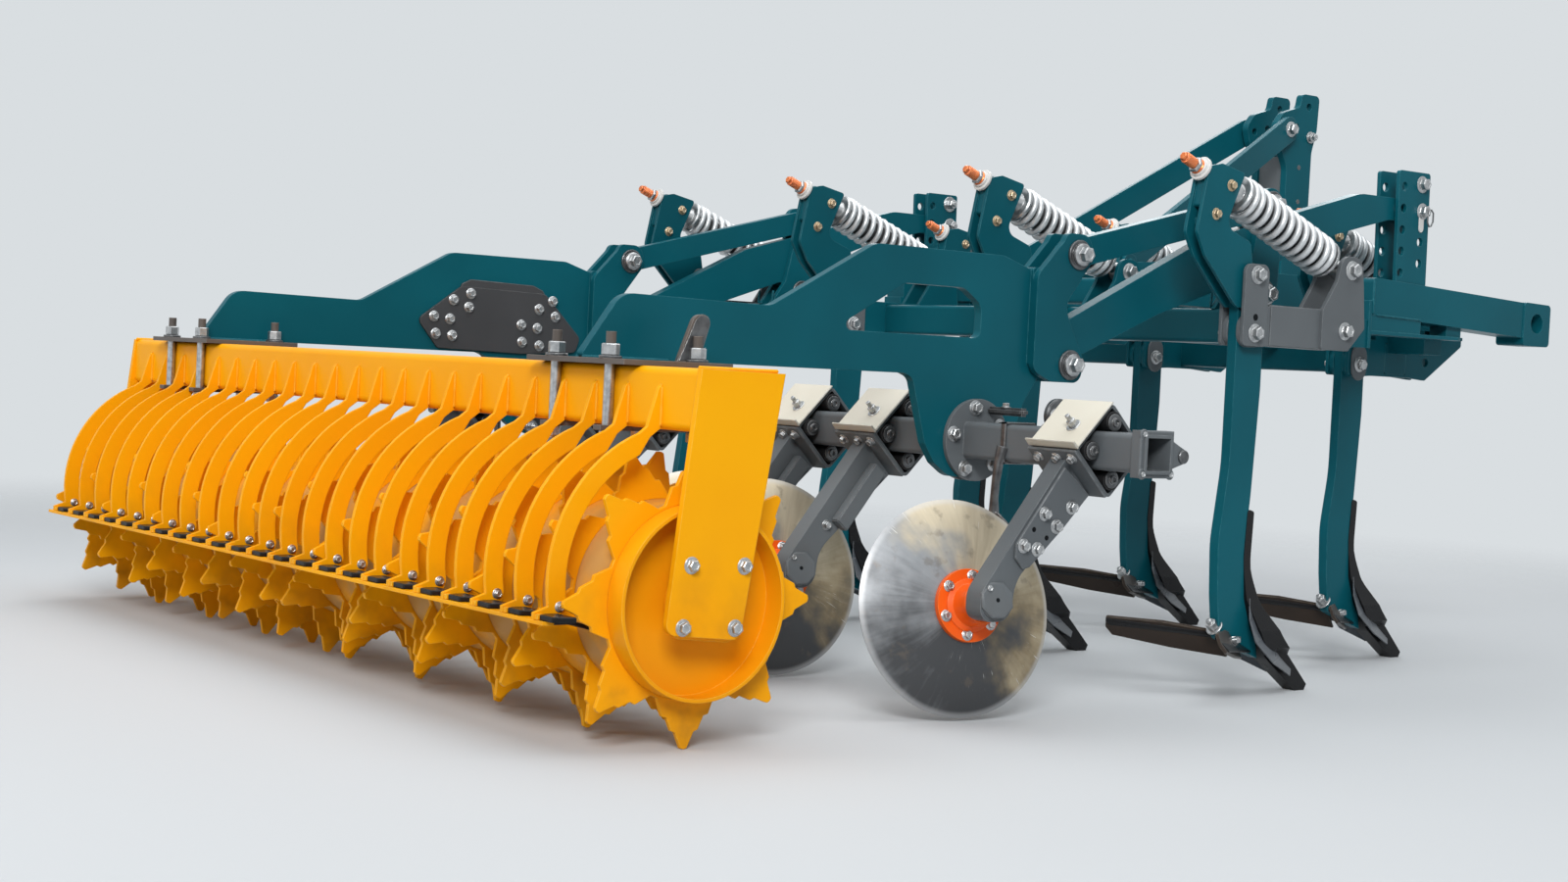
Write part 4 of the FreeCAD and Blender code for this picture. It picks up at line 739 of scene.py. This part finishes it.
# ---------------------------------------------------------------- rear section
bolts, rings, tabs, studs, welds = (bmesh.new() for _ in range(5))
FLANGE_BOLT_RADIUS = 80
PLATE_BOLTS = [(-1040, 980), (-1100, 957), (-1166, 903), (-1158, 850), (-1045, 937), (-1110, 897),
               (-1100, 846), (-742, 972), (-791, 944), (-854, 891), (-849, 837), (-730, 923),
               (-795, 883), (-785, 828)]
for side in (-1, 1):
    middle = side * LINKAGE_Y
    for x, z in ARM_PINS:
        pin_ends(rings, bolts, x, z, middle, 8)
    for angle in (98, 170, 242, 314, 26):
        bx = TUBE_X + FLANGE_BOLT_RADIUS * math.cos(math.radians(angle))
        bz = TUBE_Z + FLANGE_BOLT_RADIUS * math.sin(math.radians(angle))
        bolt_head(bolts, (bx, middle + side * FLANGE_FACE, bz), (0, side, 0), 24)
        nut(bolts, (bx, middle - side * FLANGE_FACE, bz), (0, -side, 0), 23, 6)
    for face in (-1, 1):
        a = Vector((-1915, middle + face * ARM_FACE, ARM_BOTTOM + 1))
        weld(welds, a, a + Vector((227, 0, 0)), 5)
    for dy in (-CLAMP_ROD_DY, CLAMP_ROD_DY):
        for rx in (-1934.2, -1709.8):
            foot = Vector((rx, side * (CLAMP_Y + dy), ARM_BOTTOM))
            lathe(studs, foot + Vector((0, 0, -150)), Z_AXIS, [(11.6, 0), (11.6, 148)], 18)
            washer(rings, foot, Z_AXIS, 25, 11.5, 6)
            nut(bolts, foot + Vector((0, 0, 6)), Z_AXIS, 34, 24, False)
            low = Vector((rx, side * (CLAMP_Y + dy), 645))
            nut(bolts, low, -Z_AXIS, 30, 5, False)
    tab = [(-1755.5, ARM_BOTTOM), (-1697.5, ARM_BOTTOM), (-1671.5, 884), (-1676, 898), (-1690, 904),
           (-1704, 902), (-1714, 892)]
    y0, y1 = sorted((side * (CLAMP_Y + 87.4), side * (CLAMP_Y + 100.6)))
    slab(tabs, tab, y0, y1, 2.5)
piece(tabs, "lifting_tabs", "rear_section", "seat")
piece(studs, "clamp_studs", "rear_section", "zinc")
piece(rings, "rear_pin_washers", "rear_section", "seat")
piece(welds, "arm_welds", "rear_section", "teal")
for x, z in PLATE_BOLTS:
    bolt_head(bolts, (x, 1017.5, z), (0, -1, 0), 21)
strip = bmesh.new()
outline = [(-1085, 980), (-1070, 1010), (-1040, 1024), (-815, 1018), (-780, 1004), (-760, 975)]
slab(strip, outline, 1018, 1026.5, 1.0)
piece(strip, "adjusting_plate_edge", "rear_section", "dark")
for x, z in ((-1927, 389), (-1795, 386), (-1941, 263), (-1812, 259)):
    for side in (-1, 1):
        bolt_head(bolts, (x, side * (SIDE_PLATE_Y + SIDE_PLATE_THICKNESS), z), (0, side, 0), 22)
piece(bolts, "rear_section_bolts", "rear_section", "zinc")

small, heels, lips, beads = (bmesh.new() for _ in range(4))
for y in SCRAPERS_Y:
    bolt_head(small, (-2145, y - SCRAPER_HALF, 294), (0, -1, 0), 14)
    nut(small, (-2145, y + SCRAPER_HALF, 294), (0, 1, 0), 16, 4)
    for dy in (-22, 22):
        bolt_head(small, (-2158, y + dy, RAIL_TOP), (0, 0, 1), 13, False)
    heel = [(-2199, y - 18), (-2199, y - 66), (-2152, y - 84), (-2152, y - 8), (-2180, y - 8)]
    solid_between(heels, [(a, b, 270.3) for a, b in heel], [(a, b, 282.0) for a, b in heel], 1.5)
    lip = [(-2203, RAIL_TOP), (-2203, RAIL_TOP + 12), (-2189, RAIL_TOP + 12), (-2181, RAIL_TOP + 1)]
    slab(lips, lip, y - 17, y - 5.2, 1.0)
    for face in (-1, 1):
        x = ROLLER_BEAM_REAR - 1
        weld(beads, (x, y + face * 6, 664), (x, y + face * 6, 744), 3.2)
        weld(beads, (-2198, y + face * 6, RAIL_TOP + 1), (-2140, y + face * 6, RAIL_TOP + 1), 2.6)
for side in (-1, 1):
    y, top = side * (SIDE_PLATE_Y - 0.5), ROLLER_BEAM_TOP + 1
    weld(beads, (ROLLER_BEAM_REAR, y, top), (ROLLER_BEAM_REAR + 200, y, top), 5)
    weld(beads, (ROLLER_BEAM_REAR + 199, y, 780), (ROLLER_BEAM_REAR + 199, y, 662), 5)
piece(small, "scraper_bolts", "rear_section", "zinc")
piece(heels, "blade_heels", "rear_section", "black")
piece(lips, "rail_lips", "rear_section", "yellow")
piece(beads, "scraper_welds", "rear_section", "yellow")

# ---------------------------------------------------------------- disc gang
covers, lips, bolts, dark, grey, black, hole_shades = (bmesh.new() for _ in range(7))
UP_BACK = Vector((-1, 0, 1)).normalized()
UP_FRONT = Vector((1, 0, 1)).normalized()
TUBE = Vector((TUBE_X, 0, TUBE_Z))
ROLLER_REACH = TUBE_HALF + 20.9          # from the tube's middle to a rubber roller's
COLLAR_Y = 1642
SPADE_Y = 1212
for side in (-1, 1):
    for y in DISC_STATIONS:
        middle = TUBE + Y_AXIS * (side * y)
        block(covers, middle + UP_BACK * 83 + UP_FRONT * 2, (UP_FRONT, Y_AXIS, UP_BACK), (150, 164, 5), 1.2)
        block(lips, middle + UP_BACK * 90 - UP_FRONT * 74, (UP_BACK, Y_AXIS, UP_FRONT), (22, 164, 5), 1.2)
        block(grey, middle - UP_FRONT * 83 + UP_BACK * 6, (UP_BACK, Y_AXIS, UP_FRONT), (150, 160, 6), 1.5)
        for dy in (-55, 5, 55):
            bolt_head(bolts, middle - UP_FRONT * 86 + UP_BACK * 58 + Y_AXIS * (side * dy), -UP_FRONT, 17)
        nut(bolts, middle + UP_BACK * 85.5 - UP_FRONT * 8 + Y_AXIS * (side * 18), UP_BACK, 20, 16)
        for way in (-1, 1):
            for dx, dz in ((1, 0), (0, 1), (-1, 0), (0, -1)):
                end = Vector((TUBE_X + dx * ROLLER_REACH, side * y + way * 83, TUBE_Z + dz * ROLLER_REACH))
                lathe(dark, end, (0, way, 0), [(19, 0), (20.5, 1), (20.5, 3), (18, 4.5), (14, 5)], 24)
                core = [(11, 0), (11, 5), (10, 6.5), (6, 6.5), (5.5, 3)]
                lathe(dark, end + Y_AXIS * (way * 4), (0, way, 0), core, 18)
    # cast square collar on the tube's open end, its corner screws and its ear
    corner = math.sqrt(2)
    lathe(grey, (TUBE_X, side * COLLAR_Y, TUBE_Z), (0, side, 0),
          [(37.5 * corner, 0), (51 * corner, 0), (54 * corner, 3), (54 * corner, 29), (52 * corner, 31.5),
           (37.5 * corner, 31.5)], 4, math.pi / 4, hollow=True)
    for a, b in ((-1, 1), (-1, -1), (1, -1)):
        x, z = TUBE_X + a * TUBE_HALF, TUBE_Z + b * TUBE_HALF
        lathe(grey, (x, side * (COLLAR_Y + 29), z), (0, side, 0), [(12, 0), (12, 3), (10, 4.5)], 18)
        screw = [(7, 0), (7, 3.5), (5, 4.5), (3, 3)]
        lathe(bolts, (x, side * (COLLAR_Y + 33), z), (0, side, 0), screw, 6)
    ear = [(TUBE_X + 50, TUBE_Z + 34), (TUBE_X + 50, TUBE_Z - 34)]
    ear += arc_points(TUBE_X + 88, TUBE_Z - 4, 17, -70, 70, 8)
    y0, y1 = sorted((side * (COLLAR_Y + 14), side * (COLLAR_Y + 28)))
    slab(grey, ear, y0, y1, 1.5)
    end = Vector((TUBE_X + 88, side * (COLLAR_Y + 28), TUBE_Z - 4))
    lathe(dark, end - Y_AXIS * (side * 34), (0, side, 0), [(15, 0), (16, 1), (16, 38), (14, 40), (9, 40)], 20)
    # clamp round the tube, its stem and its cleaning spade
    y = side * SPADE_Y
    for a, b in ((0, 1), (0, -1), (-1, 0), (1, 0)):
        block(dark, (TUBE_X + a * 48, y, TUBE_Z + b * 48), (X_AXIS, Y_AXIS, Z_AXIS),
              (6 if a else 102, 16, 6 if b else 102), 1.5)
    stem = [(-811, y, 632), (-818, y - side * 6, 590), (-818, y - side * 12, 545), (-815, y - side * 18, 505),
            (-812, y - side * 20, 470), (-812, y - side * 22, 440)]
    sweep(black, stem, 13, 12, [1.2, 0.95, 0.8, 0.8, 1.0, 1.5])
    spade = [(1, 478), (24, 470), (48, 452), (72, 440), (88, 428), (90, 360), (-70, 360), (-70, 424),
             (-50, 440), (-26, 456), (-12, 470)]
    lower = [(-818, y - side * (20 - a), z) for a, z in spade]
    upper = [(-812, y - side * (20 - a), z) for a, z in spade]
    solid_between(black, lower, upper, 1.5)
    # stop bar over the tube beside the arm, and its bolt
    block(dark, (-722, side * 1126, 715.3), (X_AXIS, Y_AXIS, Z_AXIS), (26, 128, 20), 6)
    bolt_head(bolts, (-722, side * 1118, 725.3), Z_AXIS, 16)
    lathe(dark, (-690, side * 1262, 712), (0, side, 0), [(40, 0), (42, 2), (42, 12), (38, 15)], 28)
    block(grey, (-700, side * 1262, 676), (X_AXIS, Y_AXIS, Z_AXIS), (60, 18, 30), 3)
    for dx in (-15, 16):
        bolt_head(bolts, (-690 + dx, side * 1277, 712), (0, side, 0), 22)

# arms of the discs: lap plates outboard, stiffeners on the inner ones, covers over the stub axles
down = Vector((ARM_FOOT_X - TUBE_X, 0, ARM_FOOT_Z - TUBE_Z)).normalized()
across = Vector((-down.z, 0, down.x))
for side in (-1, 1):
    for y in DISC_STATIONS:
        top = Vector((TUBE_X, side * (y + 28), TUBE_Z))
        if y == DISC_STATIONS[-1]:
            ring = [(96, 50), (96, -54), (322, -53), (348, -34), (352, 2), (336, 15), (200, 37)]
            lower = [top + down * a + across * b for a, b in ring]
            solid_between(grey, lower, [p + Y_AXIS * (side * 8) for p in lower], 1.5)
            outer = top + Y_AXIS * (side * 8)
            for a, b in ((217, -32), (312, -34), (153, 24), (216, 16), (292, 4)):
                bolt_head(bolts, outer + down * a + across * b, (0, side, 0), 21)
            # Near-black discs over two holes in the lap plate: painted shade.
            for a, b in ((264, -34), (254, 10)):
                lathe(hole_shades, outer + down * a + across * b, (0, side, 0), [(6, 0), (6, 0.5), (4, 0.6)], 14)
        else:
            centre = top + down * 205 + across * 6 + Y_AXIS * (side * 14)
            block(grey, centre, (down, across, Y_AXIS), (190, 44, 28), 3)
            bolt_head(bolts, top + down * 318 - across * 18, (0, side, 0), 17)
for joint in frame["joints"]:
    if not joint["name"].startswith("disc_"):
        continue
    axis = Vector(joint["axis"]).normalized()
    side = 1 if axis.y * (1 if "left" in joint["name"] else -1) > 0 else -1
    out = axis * side
    centre = to_cad(Vector(joint["pos_m"]))
    hub = bmesh.new()
    _, u, v = frame_of(out)
    for n in range(6):
        angle = math.radians(60 * n + 20)
        spoke = (u * math.cos(angle) + v * math.sin(angle)) * 69
        bolt_head(hub, centre + out * 14 + spoke, out, 17)
        nut(hub, centre - out * 5 + spoke, -out, 18, 4)
    piece(hub, joint["child"] + "_bolts", joint["child"], "zinc")
    collar = bmesh.new()
    profile = [(62, 0), (62, 4), (50, 9), (46.5, 22), (46.5, 44), (48.5, 46), (48.5, 58), (46, 60.5),
               (40, 60.5), (40, 2)]
    lathe(collar, centre + out * 13.5, out, profile, 40, hollow=True)
    piece(collar, joint["child"] + "_collar", joint["child"], "orange")
    cap = centre + out * 128
    lathe(grey, cap, out, [(41.5, -3), (44, -2), (44, 5), (40, 8), (4, 8), (3.5, 6)], 8, 0.39)
    # Near-black disc over the cap's middle hole: painted shade.
    lathe(hole_shades, cap + out * 8, out, [(5, 0), (5, 0.4), (3, 0.5)], 14)
    bolt_head(bolts, cap + out * 3 + (u * 0.6 - v * 0.8) * 33, out, 13)
piece(covers, "holder_covers", "rear_section", "cream")
piece(lips, "holder_lips", "rear_section", "cream")
piece(bolts, "disc_gang_bolts", "rear_section", "zinc")
piece(dark, "gang_fittings", "rear_section", "seat")
piece(grey, "gang_plates", "rear_section", "grey")
piece(black, "cleaning_spades", "rear_section", "seat")
piece(hole_shades, "gang_hole_shades", "rear_section", "hole_shade")

# ---------------------------------------------------------------- stage, light, camera
BACKGROUND = (0.694, 0.730, 0.753)
FLOOR_COLOUR = (0.568, 0.594, 0.613)
FLOOR_HALF = 40
FADE_START, FADE_END = 3.2, 7.5           # distance over which the floor gives way to the background
AMBIENT = 0.27
SENSOR_WIDTH, LENS = 36.0, 52.431975      # millimetres
floor_mesh = bpy.data.meshes.new("floor")
corners = [(a * FLOOR_HALF, b * FLOOR_HALF, 0) for a, b in ((-1, -1), (1, -1), (1, 1), (-1, 1))]
floor_mesh.from_pydata(corners, [], [(0, 1, 2, 3)])
floor = bpy.data.objects.new("floor", floor_mesh)
bpy.context.collection.objects.link(floor)
floor_mat, floor_tree, floor_shader = principled("floor_pale")
floor_shader.inputs["Base Color"].default_value = (*FLOOR_COLOUR, 1)
floor_shader.inputs["Roughness"].default_value = 0.95
floor_shader.inputs["Specular IOR Level"].default_value = 0.1
place = node_of(floor_tree, "ShaderNodeTexCoord").outputs["Object"]
away = vectors(floor_tree, "LENGTH", place)
fade = levels(floor_tree, away, FADE_START, FADE_END)
clear = node_of(floor_tree, "ShaderNodeBsdfTransparent")
blend = node_of(floor_tree, "ShaderNodeMixShader")
floor_tree.links.new(fade, blend.inputs[0])
floor_tree.links.new(floor_shader.outputs[0], blend.inputs[1])
floor_tree.links.new(clear.outputs[0], blend.inputs[2])
floor_tree.links.new(blend.outputs[0], floor_tree.nodes["Material Output"].inputs["Surface"])
floor_mesh.materials.append(floor_mat)

world = bpy.data.worlds.new("studio")
bpy.context.scene.world = world
world.use_nodes = True
tree = world.node_tree
tree.nodes.clear()
out = node_of(tree, "ShaderNodeOutputWorld")
back = node_of(tree, "ShaderNodeBackground")
back.inputs["Color"].default_value = (*BACKGROUND, 1)
back.inputs["Strength"].default_value = 1.0
ambient = node_of(tree, "ShaderNodeBackground")
ambient.inputs["Color"].default_value = (0.93, 0.96, 1.0, 1)
ambient.inputs["Strength"].default_value = AMBIENT
path = node_of(tree, "ShaderNodeLightPath")
seen = maths(tree, "ADD", path.outputs["Is Camera Ray"], path.outputs["Is Glossy Ray"], clamp=True)
seen = maths(tree, "ADD", seen, path.outputs["Is Transmission Ray"], clamp=True)
mix = node_of(tree, "ShaderNodeMixShader")
tree.links.new(seen, mix.inputs[0])
tree.links.new(ambient.outputs[0], mix.inputs[1])
tree.links.new(back.outputs[0], mix.inputs[2])
tree.links.new(mix.outputs[0], out.inputs[0])


def area_light(name, place, target, size, power):
    """Rectangular lamp at place, facing target."""
    data = bpy.data.lights.new(name, "AREA")
    data.shape = "RECTANGLE"
    data.size, data.size_y = size
    data.energy = power
    lamp = bpy.data.objects.new(name, data)
    lamp.location = place
    lamp.rotation_euler = (Vector(target) - Vector(place)).to_track_quat("-Z", "Y").to_euler()
    bpy.context.collection.objects.link(lamp)


area_light("key", (-9.0, -10.5, 8.0), (0, 0, 0.6), (5, 4), 1450)
area_light("top", (-0.6, -0.6, 7.0), (-0.6, -0.6, 0.0), (8, 8), 390)
area_light("fill", (-7.0, 2.0, 3.0), (0, 0, 0.6), (3, 3), 85)
area_light("rim", (5.0, 4.0, 4.0), (0, 0, 0.8), (4, 3), 110)

camera_data = bpy.data.cameras.new("camera")
camera_data.sensor_width = SENSOR_WIDTH
camera_data.lens = LENS
camera_data.clip_end = 200.0
camera = bpy.data.objects.new("camera", camera_data)
forward = Vector((0.6034, 0.7968, -0.0316)).normalized()
right = Vector((0.7972, -0.6017, 0.0494))
right = (right - forward * right.dot(forward)).normalized()
up = right.cross(forward)
rotation = Matrix((right, up, -forward)).transposed().to_4x4()
camera.matrix_world = Matrix.Translation(at(-4558.2, -5284.6, 793.8)) @ rotation
bpy.context.collection.objects.link(camera)
scene = bpy.context.scene
scene.camera = camera
scene.view_settings.view_transform = "Standard"
